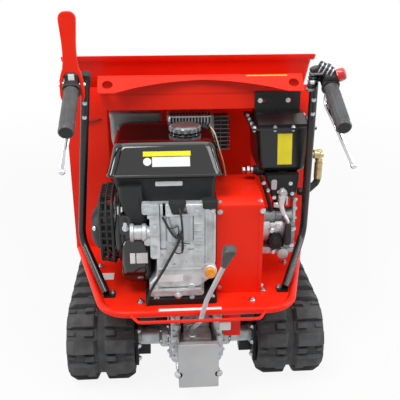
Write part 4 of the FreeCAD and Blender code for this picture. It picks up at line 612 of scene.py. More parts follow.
def tread_tree():
    """Links laid end to end along a straight line, then wrapped round the loop that comes in."""
    tree, given = new_tree("track tread", ("Links", "Int"), ("Link Length", "Float"), ("Link", "Object"),
                           ("Material", "Material"))
    length = add(tree, "GeometryNodeCurveLength", {"Curve": given["Geometry"]}).outputs[0]
    pitch = add(tree, "ShaderNodeMath", {0: length, 1: given["Links"]}, operation="DIVIDE").outputs[0]
    step = add(tree, "ShaderNodeCombineXYZ", {"X": pitch}).outputs[0]
    fit = add(tree, "ShaderNodeMath", {0: pitch, 1: given["Link Length"]}, operation="DIVIDE").outputs[0]
    fit = add(tree, "ShaderNodeCombineXYZ", {"X": fit, "Y": 1.0, "Z": 1.0}).outputs[0]
    line = add(tree, "GeometryNodeMeshLine", {"Count": given["Links"], "Offset": step}, mode="OFFSET")
    link = add(tree, "GeometryNodeObjectInfo", {"Object": given["Link"]})
    laid = add(tree, "GeometryNodeInstanceOnPoints", {"Points": line.outputs["Mesh"],
                                                      "Instance": link.outputs["Geometry"], "Scale": fit})
    laid = add(tree, "GeometryNodeRealizeInstances", {"Geometry": laid.outputs[0]})
    at = add(tree, "ShaderNodeSeparateXYZ", {"Vector": add(tree, "GeometryNodeInputPosition").outputs[0]})
    travel = add(tree, "ShaderNodeMath", {0: at.outputs["X"], 1: length}, operation="FLOORED_MODULO").outputs[0]
    spot = add(tree, "GeometryNodeSampleCurve", {"Curves": given["Geometry"], "Length": travel}, mode="LENGTH",
               use_all_curves=True)
    out = add(tree, "ShaderNodeVectorMath", {0: spot.outputs["Tangent"], 1: (1, 0, 0)},
              operation="CROSS_PRODUCT").outputs[0]
    out = add(tree, "ShaderNodeVectorMath", {0: out, "Scale": at.outputs["Z"]}, operation="SCALE").outputs[0]
    side = add(tree, "ShaderNodeCombineXYZ", {"X": at.outputs["Y"]}).outputs[0]
    place = add(tree, "ShaderNodeVectorMath", {0: spot.outputs["Position"], 1: out}, operation="ADD").outputs[0]
    place = add(tree, "ShaderNodeVectorMath", {0: place, 1: side}, operation="ADD").outputs[0]
    wrapped = add(tree, "GeometryNodeSetPosition", {"Geometry": laid.outputs[0], "Position": place})
    joined = add(tree, "GeometryNodeMergeByDistance", {"Geometry": wrapped.outputs[0], "Distance": LINK_GAP})
    return close_tree(tree, joined.outputs[0], given["Material"])


ROW, RING, BOLTS, TREAD = row_tree(), ring_tree(), bolt_tree(), tread_tree()
bolt_list = []


def row(skin, part, count, step):
    """Copies of a solid in one finish, an even step apart."""
    return grow(ROW, shape_of(part), Count=count, Step=step, Material=skin)


def ring(skin, part, count, centre, axis):
    """Copies of a solid in one finish, evenly round an axis."""
    return grow(RING, shape_of(part), Count=count, Centre=centre, Axis=axis, Material=skin)


def bolt(place, aim, width):
    """Note a bolt: where its washer sits, where its head points and the radius of its head."""
    bolt_list.append((Vector(place), Vector(aim), width))


def make_bolts():
    """All the bolts, in one mesh."""
    data = bpy.data.meshes.new("bolt points")
    data.from_pydata([place for place, _, _ in bolt_list], [], [])
    data.attributes.new("aim", "FLOAT_VECTOR", "POINT").data.foreach_set(
        "vector", [number for _, aim, _ in bolt_list for number in aim])
    data.attributes.new("width", "FLOAT", "POINT").data.foreach_set("value", [width for _, _, width in bolt_list])
    Piece("bolts_chassis").take_mesh(grow(BOLTS, data, Seed=4, Material=ZINC)).done("chassis", "zinc_steel")


# ------------------------------------------------------------------ tracks
HALF_TRACK, SKIN, LUG = 90, 9, 24  # from the belt's middle: to its edge, to its faces, to the tread's top
LINKS = 37


def make_link(length):
    """One pitch of rubber track, laid flat: X along the track, Y across it, Z outwards from the belt's middle."""
    cuts = 6
    half, top = HALF_TRACK, SKIN
    section = [(-half, -SKIN), (half, -SKIN), (half, top - 3), (half - 3, top), (9, top), (7, top - 3),
               (-7, top - 3), (-9, top), (3 - half, top), (-half, top - 3)]
    belt = loft([[(length * i / cuts, y, z) for y, z in section] for i in range(cuts + 1)], capped=False)
    bmesh.ops.recalc_face_normals(belt, faces=belt.faces)

    def lump(start, end, profile, lean, sign, steps=4):
        """A moulded block: its profile across the belt, with steps along it so that it can bend."""
        root, crown = min(z for _, z in profile), max(z for _, z in profile)
        rings = []
        for i in range(steps + 1):
            share = i / steps
            rings.append([Vector((start + (end - start) * share
                                  + lean * (1 - 2 * share) * (z - root) / (crown - root), sign * y, z))
                          for y, z in profile])
        part = loft(rings)
        bmesh.ops.recalc_face_normals(part, faces=part.faces)
        join(belt, as_data(part, "scratch"))

    bar_profile = [(8, 4), (half, 4), (half, 10), (88, 13), (72, 23), (69, LUG), (18, LUG), (15.5, 22.5), (9, 9)]
    pad_profile = [(14, 4), (46, 4), (40, 17.5), (37, 19), (20, 19), (17, 17.5)]
    edge_profile = [(62, 4), (half, 4), (89, 10), (84, 13), (68, 13)]
    rib_profile = [(0, 4), (2.2, 4), (1.9, 20), (0.3, 20)]
    for sign in (-1, 1):
        lump(4, 37, bar_profile, 2.6, sign)
        lump(40, 58, pad_profile, 3.4, sign)
        lump(44, 54, edge_profile, 1.4, sign)
        for number in range(7):
            shifted = [(y + 22 + number * 7.5, z) for y, z in rib_profile]
            lump(3.2, 38, shifted, 2.6, sign)
    return as_data(belt, "link")


def make_track(side):
    """Rubber track: belt and lugs laid flat, then wrapped round sprocket and idler."""
    low, high = mm(side + "_track")
    idler_low, idler_high = mm(side + "_idler")
    up = (low.z + high.z) / 2
    ahead = (idler_low.y + idler_high.y) / 2
    middle = (low.x + high.x) / 2
    radius = high.z - up - LUG
    steps = 32
    line = []
    for start, centre in ((0, ahead), (math.pi, 0)):
        for i in range(steps + 1):
            turn = start + math.pi * i / steps
            line.append((middle, centre + radius * math.sin(turn), up - radius * math.cos(turn)))
    loop = curve_through("POLY", line)
    loop.splines[0].use_cyclic_u = True
    pitch = (2 * ahead + math.tau * radius) / LINKS
    link = put("link", make_link(pitch))
    data = grow(TREAD, loop, Links=LINKS, **{"Link Length": pitch}, Link=link, Material=TRACK_RUBBER)
    bpy.data.objects.remove(link)
    Piece(side + "_rubber_track").take_mesh(data).done("chassis", "track_rubber", side + "_track")


def make_running_gear(side, sign):
    """Axle tube with its collars, and the bolts of the flange that joins it to the track frame."""
    low, high = mm(side + "_axle_tube")
    inner, outer = (high.x, low.x) if sign < 0 else (low.x, high.x)
    piece = Piece(side + "_axle_housing")
    up = (low.z + high.z) / 2
    place = Vector((inner, 0, up))
    length = abs(outer - inner)
    out = X * sign
    piece.take(CAST, lathe(place, out, ((0, 0), (0, 31), (2, 33), (18, 33), (21, 30), (24, 27), (27, 24.5),
                                        (length - 8, 24), (length - 6, 27), (length, 27), (length, 0)), 40))
    bolt_circle = 27
    for i in range(6):
        turn = math.radians(30 + 60 * i)
        spot = Vector((0, math.sin(turn) * bolt_circle, math.cos(turn) * bolt_circle))
        bolt(place + out * 20 + spot, out, 4)
    # Black plates beside and below the tube.
    piece.take(CHASSIS_BLACK_AND_PAINTED_SHADE, block((sign * 128, 4, 48), (sign * 169, 40, 104)),
               block((sign * 76, 66, 96), (sign * 169, 72, 232)))
    piece.done("chassis", "cast_aluminium", side + "_axle_tube")
    flange = mm(side + "_track_frame")
    face = flange[1].x if sign < 0 else flange[0].x
    for y, z in ((-42, 46), (-42, -46), (38, 46), (38, -46), (-48, 0)):
        bolt((face, y, up + z), -out, 6.5)


# ------------------------------------------------------------------ skip
def make_skip():
    """Tub folded from sheet: wall, floor and a rolled rim that slopes down to the front."""
    low, high = mm("skip_tub")
    floor, top, front_top = low.z, high.z, 650
    floor_back, floor_front, floor_half = 355, 860, 285
    rim, wall, lip = 15, 3, 9
    slope = (top - front_top) / (high.y - low.y)
    rise = top - floor
    rear_lean = (low.y + lip - floor_back) / rise
    front_lean = (high.y - lip - floor_front) / (front_top - floor)
    side_lean = (high.x - lip - floor_half) / rise

    def loop(corners, radius, steps=5):
        """The corners' outline, with an arc that starts and ends so far from each corner."""
        found = []
        for before, corner, after in zip(corners[-1:] + corners, corners, corners[1:] + corners[:1]):
            start = corner + (before - corner).normalized() * radius
            end = corner + (after - corner).normalized() * radius
            for i in range(steps + 1):
                t = i / steps
                found.append(start * (1 - t) ** 2 + corner * 2 * t * (1 - t) + end * t ** 2)
        return found

    def ring_at(out, radius, height=None, from_rim=None):
        """A ring round the tub: level at a height, or along the rim's slope."""
        spots = []
        for at, lean, way in ((floor_back, rear_lean, -1), (floor_front, front_lean, 1)):
            z = height
            if height is None:
                z = (top + from_rim - slope * (at - lean * floor + way * out - low.y)) / (1 + slope * lean)
            y = at + lean * (z - floor) + way * out
            spots.append((floor_half + side_lean * (z - floor) + out, y, z))
        (x0, y0, z0), (x1, y1, z1) = spots
        return loop([Vector((-x0, y0, z0)), Vector((x0, y0, z0)), Vector((x1, y1, z1)), Vector((-x1, y1, z1))],
                    radius)

    rings = [ring_at(-7, 6, floor), ring_at(-2, 9, floor + 2), ring_at(0, 10, floor + 7),
             ring_at(0, 10, from_rim=-rim), ring_at(lip - 2.5, 12, from_rim=-rim),
             ring_at(lip, 13, from_rim=-rim + 2.5), ring_at(lip, 13, from_rim=-3),
             ring_at(lip - 0.9, 13, from_rim=-0.9), ring_at(lip - 3, 12, from_rim=0),
             ring_at(-wall + 2, 8, from_rim=0), ring_at(-wall, 7, from_rim=-2),
             ring_at(-wall, 7, floor + wall + 6), ring_at(-wall - 2, 6, floor + wall + 2),
             ring_at(-wall - 7, 5, floor + wall)]
    Piece("skip_tub_shell").take(RED, loft(rings)).done("skip", "red_paint", "skip_tub")


# ------------------------------------------------------------------ sheet metal of the chassis
def make_hood():
    """Hood over the engine: wall, roof and cheeks, and a visor folded from one sheet with them."""
    low, high = mm("rear_hood")
    wall_y = mm("oil_tank_bracket")[1].y + 0.3
    roof = mm("bulkhead")[1].z
    back = mm("bulkhead")[0].y
    piece = Piece("engine_hood")
    thick = 3
    piece.take(RED, block((low.x, wall_y, low.z), (high.x, wall_y + thick, high.z - 1.5), 0.6),
               block((low.x, wall_y, roof - thick), (high.x, back - 0.1, roof), 0.6))
    for x in (low.x, high.x - thick):
        piece.take(RED, block((x, wall_y + 1, low.z), (x + thick, back - 0.1, roof - 0.2), 0.6))
    slope = math.radians(35)
    half = (high.x - low.x) / 2
    centre = (high.x + low.x) / 2
    depths = ((0, 60), (40, 60), (46, 59), (62, 53.5), (87, 45), (124, 35.4), (173, 26), (222, 20), (half, 17.5))
    edge = []
    for (x0, d0), (x1, d1) in zip(depths, depths[1:]):
        edge += [(x0 + (x1 - x0) * i / 4, d0 + (d1 - d0) * i / 4) for i in range(4)]
    edge.append(depths[-1])
    smooth = edge[:]
    for _ in range(6):
        smooth = smooth[:1] + [((a[0] + 2 * b[0] + c[0]) / 4, (a[1] + 2 * b[1] + c[1]) / 4)
                               for a, b, c in zip(smooth, smooth[1:], smooth[2:])] + smooth[-1:]
    left = [(-half + x, -d) for x, d in smooth if x > 14]
    corner = [(-half + 12 - 12 * math.sin(math.radians(a)), -48 - 12 * math.cos(math.radians(a)))
              for a in range(0, 91, 18)]
    outline = [(-half, 0)] + corner[::-1] + left
    outline += [(-x, y) for x, y in outline[::-1] if x < -0.01]
    visor_turn = facing((centre, wall_y + thick, high.z), X, (0, math.cos(slope), math.sin(slope)))
    holes = [hole(x, -31, 14) for x in (-half + 25, half - 25)]
    piece.take(RED, sheet(outline, holes, thick, visor_turn @ Matrix.Translation((0, 0, -thick))),
               rod((low.x, wall_y + 2, high.z - 2.6), (high.x, wall_y + 2, high.z - 2.6), 2.6, 0.2, 16))
    start, end = 143 - centre, 251 - centre
    piece.take(YELLOW_VINYL, sheet([(start, -6.5), (end, -6.5), (end, -1), (start, -1)], [], 0.3, visor_turn))
    piece.done("chassis", "red_paint", "rear_hood")


def make_deck_details():
    """Blank labels and bolts on the deck and the bumper, and the small white block under them."""
    deck = mm("engine_deck")[1].z
    for x, y in ((-263, 80), (-145, -119), (141, -128), (262, 71)):
        bolt((x, y, deck), Z, 7)
    piece = Piece("deck_labels")
    piece.take(WHITE_VINYL, block((-259, 1, deck), (-222, 37, deck + 0.4), 0.1))
    tube_back, tube_up, tube_radius = -168, deck - 4, 10
    arc = [math.radians(a) for a in range(58, 115, 8)]
    strip = [Vector((0, tube_back - r * math.cos(a), tube_up + r * math.sin(a)))
             for r, turns in ((tube_radius + 0.25, arc), (tube_radius - 0.3, arc[::-1])) for a in turns]
    piece.take(WHITE_VINYL, loft([[p + X * x for p in strip] for x in (-99, 58)]),
               block((55, -146, 222), (85, -134, 247), 2, 3, "y"))
    piece.done("chassis", "red_paint")


# ------------------------------------------------------------------ handles and controls
GRIP_SLOPE, GRIP_RADIUS, GRIP_LENGTH = math.radians(25), 17, 136


class GripPlace:
    """Where a grip's front end is, with its own directions: outwards, ahead and up."""

    def __init__(self, side, sign):
        low, high = mm(side + "_grip")
        self.front = Vector(((low.x + high.x) / 2, high.y - GRIP_RADIUS * math.sin(GRIP_SLOPE),
                             high.z - GRIP_RADIUS * math.cos(GRIP_SLOPE)))
        self.out = X * sign
        self.ahead = Vector((0, math.cos(GRIP_SLOPE), math.sin(GRIP_SLOPE)))
        self.above = Vector((0, -math.sin(GRIP_SLOPE), math.cos(GRIP_SLOPE)))

    def at(self, lateral, forward, up):
        """A point, from distances along the grip's directions."""
        return self.front + self.out * lateral + self.ahead * forward + self.above * up

    def block(self, lateral, forward, up, edge=2.0, corner=0, along="y"):
        """A box that lies along the grip, from its span in each of the grip's directions."""
        part = block(*zip(lateral, forward, up), edge, corner, along)
        if self.out.x < 0:
            bmesh.ops.scale(part, vec=(-1, 1, 1), verts=part.verts)
        bmesh.ops.transform(part, matrix=facing(self.front, X, self.ahead), verts=part.verts)
        return part


def make_handle(side, sign):
    """Bent tube with its foot, the bracket strip near its top and the head that holds the grip."""
    hand = GripPlace(side, sign)
    front, ahead = hand.front, hand.ahead
    deck = mm("engine_deck")[1].z
    tube = 10
    foot = Vector((sign * 236, -80, deck + tube))
    knee = Vector((sign * 305, 45, 408))
    top = hand.at(-28, 49, 0)
    piece = Piece(side + "_handle_tube")
    piece.take(TUBE_BLACK, bar([foot - (knee - foot).normalized() * 3, knee, top], tube, 45, 20, 1.0))
    piece.take(TUBE_BLACK, block((foot.x + sign * 7, foot.y - 15, deck), (foot.x - sign * 24, foot.y + 15, deck + 4),
                                 0.8, 4))
    bolt((foot.x - sign * 16, foot.y + 7, deck + 4), Z, 6)
    half = 19.4
    piece.take(PLASTIC, hand.block((-half, half), (0, 12), (-18, 18), 3, 12),
               hand.block((-half + 3, half - 3), (8, 41), (-16, 16), 3, 8),
               hand.block((-39, half - 2), (40, 60), (-13, 13), 2.5, 6))
    for shift in (-6, 8):
        piece.take(ZINC, rod(hand.at(half - 3.2, 20, shift), hand.at(half + 0.8, 20, shift), 3.2, 0.6, 12))
    drop = (top - knee).normalized()
    for along in (-60, -98):
        point = top + drop * along
        bolt(point + Vector((0, -9.4, -2)), (0, -1, -0.1), 4)
    strip = [top + drop * along - Y * 3 for along in (-118, -18)]
    piece.take(CHASSIS_BLACK_AND_PAINTED_SHADE, bar(strip, 8, 0, 4, 0.5, 1.2))
    piece.done("chassis", "black_paint", side + "_handle")

    grip = Piece(side + "_hand_grip")
    length = GRIP_LENGTH
    profile = ((0, 0), (0, 15), (1.5, 17), (7, 17), (9, 15.6), (24, 15.8), (60, 16.6), (100, 16.2), (124, 16.0),
               (128, 17), (length - 2, 17), (length, 15.5), (length, 0))
    grip.take(GRIP, lathe(front, -ahead, profile, 36))
    ridge = bar([front - ahead * 16 + X * 15.2, front - ahead * 119 + X * 15.4], 1.7, 0, 8, 0.9)
    grip.take_mesh(ring(GRIP, ridge, 14, front, ahead))
    grip.take(PLASTIC, lathe(front - ahead * length, -ahead, ((-3, 0), (-3, 13.5), (0.3, 13.5), (0.6, 12.5),
                                                              (0.6, 0)), 36))
    grip.done("chassis", "grip_rubber", side + "_grip")

    lever = Piece(side + "_chrome_lever")
    splay = 20 if side == "left" else 38
    tip = front + Vector((sign * splay, -97, -152))
    points = [hand.at(0, 12, -18.3), hand.at(0, 12, -50), front + Vector((sign * 6, -50, -74)), tip]
    lever.take(CHROME, bar(points, (8.2, 5.6), 24, 20, 0.6, 0.6),
               ball(tip + (tip - points[2]).normalized() * -1.5, 7.4, 18),
               hand.block((-6, 6), (5, 19), (-26, -17), 1.5))
    lever.done("chassis", "chrome_rod", side + "_steering_lever")


def make_clutch_lever():
    """Tall red lever: a flared paddle above a fork that straddles the left grip's head."""
    low, high = mm("clutch_lever")
    middle = (low.x + high.x) / 2
    half = [(0, 1018), (8, 1017.4), (13.5, 1014.5), (17.5, 1009.5), (19, 1003), (18.6, 994), (17.2, 978),
            (15.6, 955), (15.0, 935), (15.6, 915), (18, 898), (22.5, 886), (26, 872), (27, 858), (27, 838),
            (25.5, 831), (22.5, 826), (19.5, 829), (18.5, 838), (18, 868), (15.5, 881), (10, 888), (0, 890)]
    outline = half + [(-x, z) for x, z in half[::-1] if x > 0]
    place = Matrix.Translation((middle, high.y, 0)) @ facing((0, 0, 0), X, Z)
    body = sheet(outline[::-1], [], high.y - low.y, place)
    soften(body, 3.2, 3)
    piece = Piece("clutch_handle").take(RED, body)
    piece.take(PLASTIC, block((middle - 15.5, low.y + 1, 834), (middle + 15.5, high.y + 6, 884), 2, 4, "y"))
    piece.take(WHITE_VINYL, block((middle - 6.5, low.y - 0.4, 846), (middle + 7, low.y + 2, 886), 0.5, 1, "y"))
    piece.take(ZINC, rod((middle - 30, low.y + 6, 862), (middle + 30, low.y + 6, 862), 4.5, 1))
    piece.done("chassis", "red_paint", "clutch_lever")


def make_throttle():
    """Throttle housing with its lock and cable coil, and the red knob, ahead of the right grip."""
    hand = GripPlace("right", 1)
    piece = Piece("throttle_body")
    piece.take(PLASTIC, hand.block((-17, 14), (2, 32), (2, 30), 4, 10, "x"),
               hand.block((-20, 2), (24, 46), (12, 38), 4, 8, "x"))
    # Lock barrel lying across, with bright rings.
    lock = Vector((274, -122, 895))
    aim = Vector((1, -0.3, -0.5)).normalized()
    piece.take(TUBE_BLACK, lathe(lock - aim * 4, aim, ((0, 0), (0, 12), (2, 14), (34, 14), (36, 12), (36, 0)), 32))
    for travel in (2, 11, 20, 29):
        piece.take(ZINC, lathe(lock + aim * travel, aim,
                               ((0, 0), (0, 14), (0.8, 15), (2.4, 15), (3.2, 14), (3.2, 0)), 32))
    piece.take(WHITE_VINYL, hand.block((-14, -2), (14, 26), (29, 31), 0.8))
    # Cable coil and clamp on the inner side.
    for number in range(6):
        spot = (266 - number, -112, 893 - 9 * number)
        piece.take(CAP_STEEL if number % 2 else TUBE_BLACK,
                   lathe(spot, (0.3, 0.1, -1), ((0, 0), (0, 10), (1.5, 12.5), (6, 12.5), (7.5, 10), (7.5, 0)), 24))
    clamp = [hand.at(*spot) for spot in ((-34, 40, 4), (-34, 26, 20), (-24, 18, 27), (-14, 20, 28))]
    piece.take(CAP_STEEL, bar(clamp, 3.2, 12, 12))
    piece.take(ZINC, rod(hand.at(-36, 14, 6), hand.at(-46, 14, 6), 5, 1, 6))
    piece.done("chassis", "black_plastic", "throttle")
    knob = Piece("throttle_knob_cap")
    knob.take(RED_ABS_AND_PAINTED_REFLECTION, lathe(hand.at(12, 15, 22), (1, -0.35, 0.45),
                             ((0, 0), (0, 8), (1, 13), (3, 15), (15, 14.2), (19, 12), (20.5, 8), (20.5, 0)), 9))
    knob.done("chassis", "red_plastic", "throttle_knob")


# ------------------------------------------------------------------ drive under the deck
def make_gearbox():
    """Cast gearbox in two halves with ribs, its nose, lifting eye and cover bolts."""
    low, high = mm("gearbox")
    up = (mm("left_axle_tube")[0].z + mm("left_axle_tube")[1].z) / 2
    piece = Piece("gearbox_casting")
    piece.take(CAST, block((-70, -78, low.z + 4), (70, 66, high.z), 4, 14, "y"),
               block((-75, -66, up - 44), (75, 58, up + 44), 3, 24, "x"))
    for x in (-46, 0, 46):
        piece.take(CAST, block((x - 2.5, -85, low.z + 12), (x + 2.5, 60, high.z - 6), 1.5))
    piece.take(CAST, block((-66, -85, 152), (66, -74, 164), 2),
               block((-40, -138, low.z + 22), (40, -80, 176), 3, 10, "z"),
               block((-36, -132, 172), (36, -78, 190), 3, 8, "z"))
    piece.take(CHASSIS_BLACK_AND_PAINTED_SHADE, *[block((x, -86.5, 178), (x + 6, -70, 232), 1) for x in (-42, 34)])
    eye = [circle(Vector((-14, -100, 204)) + Vector((math.cos(t) * 10, 0, math.sin(t) * 10)),
                  Vector((-math.sin(t), 0, math.cos(t))), 3, 10) for t in even_turns(24)]
    piece.take(CAST, loft(eye, True),
               rod((-14, -112, 190), (-14, -112, 196), 11, 1.5), rod((-14, -124, 188), (-14, -124, 198), 10, 2),
               rod((-52, -90, 196), (-52, -74, 196), 9, 1.5),
               *[rod((x, -93, 172), (x, -78, 172), 8, 1.5) for x in (-24, 30)])
    for x in (-60, -36, -14, 14, 36, 60):
        bolt((x, -85, high.z - 14), -Y, 4)
    for sign in (-1, 1):
        for z in (96, 124, 150, 178):
            bolt((sign * 63, -78, z), -Y, 4.5)
            bolt((sign * 75, -52, z), X * sign, 4.5)
    piece.done("chassis", "cast_aluminium", "gearbox")


def make_shield():
    """Folded shield behind the gearbox: notched for its pins, with a ring clip on the left one."""
    low, high = mm("shield_plate")
    piece = Piece("gear_shield")
    half, thick = high.x, 3
    span = [(-half + 2, 0), (half - 2, 0), (half, 3), (half, 30), (half - 8, 33), (half - 10, 40), (half - 8, 47),
            (half, 50), (half, high.z - low.z - 6), (half - 4, high.z - low.z)]
    outline = span[1:] + [(-x, z) for x, z in span[::-1]][:-1]
    piece.take(GREY, sheet(outline, [], thick, facing((0, low.y + thick, low.z), X, Z)),
               bar([(-half + 3, low.y + 3, high.z - 2), (half - 3, low.y + 3, high.z - 2)], 3, 0, 12, 0.5),
               block((-half + 4, low.y + 2, high.z - 4), (half - 4, low.y + 18, high.z - 1), 0.8))
    side = [(low.y + 1, low.z + 1), (high.y, low.z + 20), (high.y, high.z - 20), (low.y + 1, high.z - 1)]
    pin_y, pin_z = low.y + 22, low.z + 36
    for sign in (-1, 1):
        flank = min(sign * half, sign * (half - thick))
        piece.take(GREY, sheet(side, [hole(pin_y, pin_z, 6)], thick, facing((flank, 0, 0), Y, Z)))
        piece.take(CHASSIS_BLACK_AND_PAINTED_SHADE, block((sign * (half - 14), low.y + 5, low.z + 22),
                                  (sign * (half + 1), low.y + 18, low.z + 58)))
        piece.take(ZINC, rod((sign * (half - 6), pin_y, pin_z), (sign * (half + 5), pin_y, pin_z), 5.6, 0.6))
        piece.take(CAST, lathe((sign * (half + 2), low.y + 7, low.z + 38), (sign * 0.5, -0.8, 0.1),
                               ((0, 0), (0, 8), (2, 9), (5, 8), (7, 4), (7, 0)), 20))
    clip = [Vector((-half - 6, low.y + 14 + math.cos(t) * 7, low.z + 60 + math.sin(t) * 7)) for t in even_turns(24)]
    piece.take(ZINC, loft(hoop(clip, 1.3), True))
    piece.done("chassis", "grey_paint", "shield_plate")


def make_gear_knob():
    """Moulded knob: round at its root, squarish and upright towards its flat top."""
    start, gate, upright_from = Vector((56, -222, 452)), Vector((18, -194, 344)), 38
    along = (start - gate).normalized()
    upright = Vector((0.03, along.y, along.z))
    rings = []
    for travel, wide, deep, corner in ((0, 5, 5, 4.9), (0.5, 7.5, 7.5, 7.4), (10, 9, 9, 8), (26, 12, 12, 7),
                                       (38, 13.6, 14, 5), (47, 13.8, 14.5, 5), (50.5, 13, 13.5, 5),
                                       (52.5, 10.5, 11, 5), (53, 7, 7, 5)):
        turned = min(1, travel / upright_from)
        axis = along.lerp(upright, turned).normalized()
        across = (X - axis * axis.x).normalized()
        centre = start + along * travel + Vector((-2.5, 0, 6.5)) * turned
        rings.append([centre + across * x + axis.cross(across) * y
                      for x, y in rounded((-wide, -deep), (wide, deep), corner, 5)])
    Piece("gear_lever_knob").take(GRIP, loft(rings)).done("chassis", "black_plastic", "gear_knob")


# ------------------------------------------------------------------ engine
def make_mount():
    """Pressed mount between engine and deck."""
    low, high = mm("engine_mount")
    piece = Piece("engine_base_plate")
    piece.take(CHASSIS_BLACK_AND_PAINTED_SHADE, block(low, high - Z * 0.2, 1.5, 8))
    for x, y in ((-104, -132), (-14, -134), (38, -132)):
        bolt((x, y, high.z - 0.2), (0, -0.25, 1), 5)
    piece.done("chassis", "black_paint", "engine_mount")


def make_engine():
    """Crankcase with its cover, lugs and ribs, the cylinder and head, and small fittings."""
    low, high = mm("engine_block")
    piece = Piece("engine_casting")
    left, right, back, case_top, lug_top = low.x, high.x, low.y, 559, 574
    case_front = 90
    piece.take(CAST, stack(*[((left - 4, back + 8), (18, case_front + 2), z, 8) for z in (low.z, 350)],
                           *[((left + inset, back + setback), (right - 4, case_front), z, setback)
                             for inset, setback, z in ((12, 12, 366), (18, 12, 404), (24, 10, 448),
                                                       (6, 10, 470), (4, 10, case_top))]))
    # Sump: flange, its front edge and the wide lower casting above it.
    piece.take(CAST, block((-122, back - 3, low.z + 2), (16, back + 20, 336), 3, 9, "y"),
               block((-112, back - 6, 333), (10, back + 20, 343), 2.5),
               loft([[Vector((x, back + y, z)) for x, z in rounded((-101 + inset, 346), (13 - inset, 450), 12, 4)]
                     for y, inset in ((20, 0), (4, 0), (1, 1), (0, 3))]),
               block((-98, back - 4, 394), (12, back + 4, 401), 2))
    # Tall column at the left and the lugs above it.
    piece.take(CAST, block((-116, back - 4, 428), (-91, back + 16, 574), 3, 7, "y"),
               block((-134, back - 1, 546), (-110, back + 22, 575), 3, 6, "y"),
               block((-121, back - 8, 538), (-93, back + 10, 546), 2.5, 3, "y"),
               block((-119, back - 7, 492), (-93, back + 10, 499), 2, 3, "y"),
               block((-131, back + 1, 462), (-108, back + 22, 500), 3, 8, "y"),
               block((-91, back + 6, 452), (-76, back + 18, 572), 2, 5, "y"))
    # Round cover in the middle: brushed, bulging towards the rear.
    arc = [math.radians(12 + 156 * i / 16) for i in range(17)]
    bulge = [(-42.5 - 35 * math.cos(a), back + 5 - 14 * math.sin(a)) for a in arc]
    piece.take(BRUSHED, loft([[Vector((x, y, z)) for x, y in bulge + [(-10, back + 20), (-74, back + 20)]]
                              for z in (475, 542)]))
    piece.take(CAST, block((-77, back - 6, 541), (-9, back + 16, 548), 2.5, 3, "y"),
               block((-77, back - 1, 452), (-8, back + 16, 476), 2.0),
               block((-74, back - 5, 446), (-22, back + 10, 462), 2, 4, "y"))
    # Ribbed strip and flange at the right, and the lugs on top.
    piece.take(CAST, block((-9, back - 2, 404), (17, back + 16, 560), 2, 4, "y"))
    rib = block((-8, back - 4.5, 448), (12, back + 4, 451), 1)
    piece.take_mesh(row(CAST, rib, 5, (0, 0, 18)))
    flange = [(15, 404), (44, 404), (46, 412), (46, 538), (38, 551), (26, 558), (15, 560)]
    piece.take(CAST, soften(sheet(flange[::-1], [], 18, facing((0, back + 22, 0), X, Z)), 3, 3))
    for x in (22, 31, 41):
        piece.take(CAST, block((x - 1.4, back + 0.5, 410), (x + 1.4, back + 6, 546), 0.8))
    for lug, thick in (([(-30, lug_top), (13, lug_top), (13, 543), (-20, 543), (-24, 549)], 24),
                       ([(-90, lug_top), (-66, lug_top), (-60, 549), (-64, 543), (-90, 543)], 22)):
        piece.take(CAST, soften(sheet(lug, [], thick, facing((0, back + 17, 0), X, Z)), 3, 3))
    # Black strip left of the wedge: painted shade of a recess between the castings.
    piece.take(CHASSIS_BLACK_AND_PAINTED_SHADE, block((-84, back - 5, 545), (-76, back + 4, 575), 0.8))
    wedge = [(-69, 576), (-27, 576), (-36, 551), (-59, 551)]
    piece.take(PLASTIC, loft([[Vector((x, y, z)) for x, z in wedge] for y in (back - 7, back + 20)]),
               block((14, back + 2, 556), (50, back + 36, 576), 2))
    # Oil filler's neck and its plug.
    filler = Vector((32, back - 5, 389))
    piece.take(CAST, block((6, back - 2, 366), (right - 3, back + 16, 410), 4, 12, "y"),
               rod(filler + Y * 17, filler, 17, 2))
    piece.take(ORANGE, lathe(filler, -Y, ((0, 0), (0, 13), (1, 14), (8, 14), (9.5, 12.5), (11, 12), (11, 0)), 28))
    # Governor's boss between crankcase and fan.
    piece.take(CAST, lathe((-164, back + 10, 496), X, ((0, 0), (0, 21), (2, 22.5), (8, 22.5), (10, 18), (28, 18),
                                                       (30, 22), (38, 22), (42, 16), (52, 14), (52, 0)), 36))
    for x, z, size in ((-104, 560, 5.5), (-104, 519, 5.5), (-105, 459, 5.5), (2, 559, 4.5)):
        bolt((x, back - (7 if x > 0 else 4), z), -Y, size)
    bolt((-126, back - 1, 563), -Y, 5)
    for x in (-109, -15):
        piece.take(CAST, rod((x, back + 2, 346), (x, back - 5, 346), 9, 1.5))
        bolt((x, back - 5, 346), -Y, 6)
    piece.take(ZINC, lathe((-49, back - 3, 324), -Y, ((0, 0), (0, 9.5), (2, 10), (4, 10), (4.6, 7), (9, 7),
                                                      (10, 5.5), (10, 0)), 24))
    for x, z in ((-58, 408), (-28, 414), (31, 548), (31, 420), (-88, 436), (9, 424)):
        bolt((x, back + (4 if x > 20 else 0), z), -Y, 3.6)
    piece.take(WHITE_VINYL, block((-98, back - 0.6, 361), (-36, back + 0.4, 380), 0.2))
    # Cylinder, head and the pipe below the tank, which show from the other sides.
    piece.take(CAST, block((-88, 88, 380), (right - 10, high.y - 14, case_top - 4), 3, 12, "y"))
    fin = block((-92, 96, 390), (right - 6, 99, case_top - 1), 0.8)
    piece.take_mesh(row(CAST, fin, 8, (0, 7.5, 0)))
    piece.take(CAST, block((-84, high.y - 26, 396), (right - 14, high.y, case_top - 16), 4, 16, "y"),
               block((-100, 40, 555), (30, 80, 590), 3, 8, "z"))
    piece.done("chassis", "cast_aluminium", "engine_block")


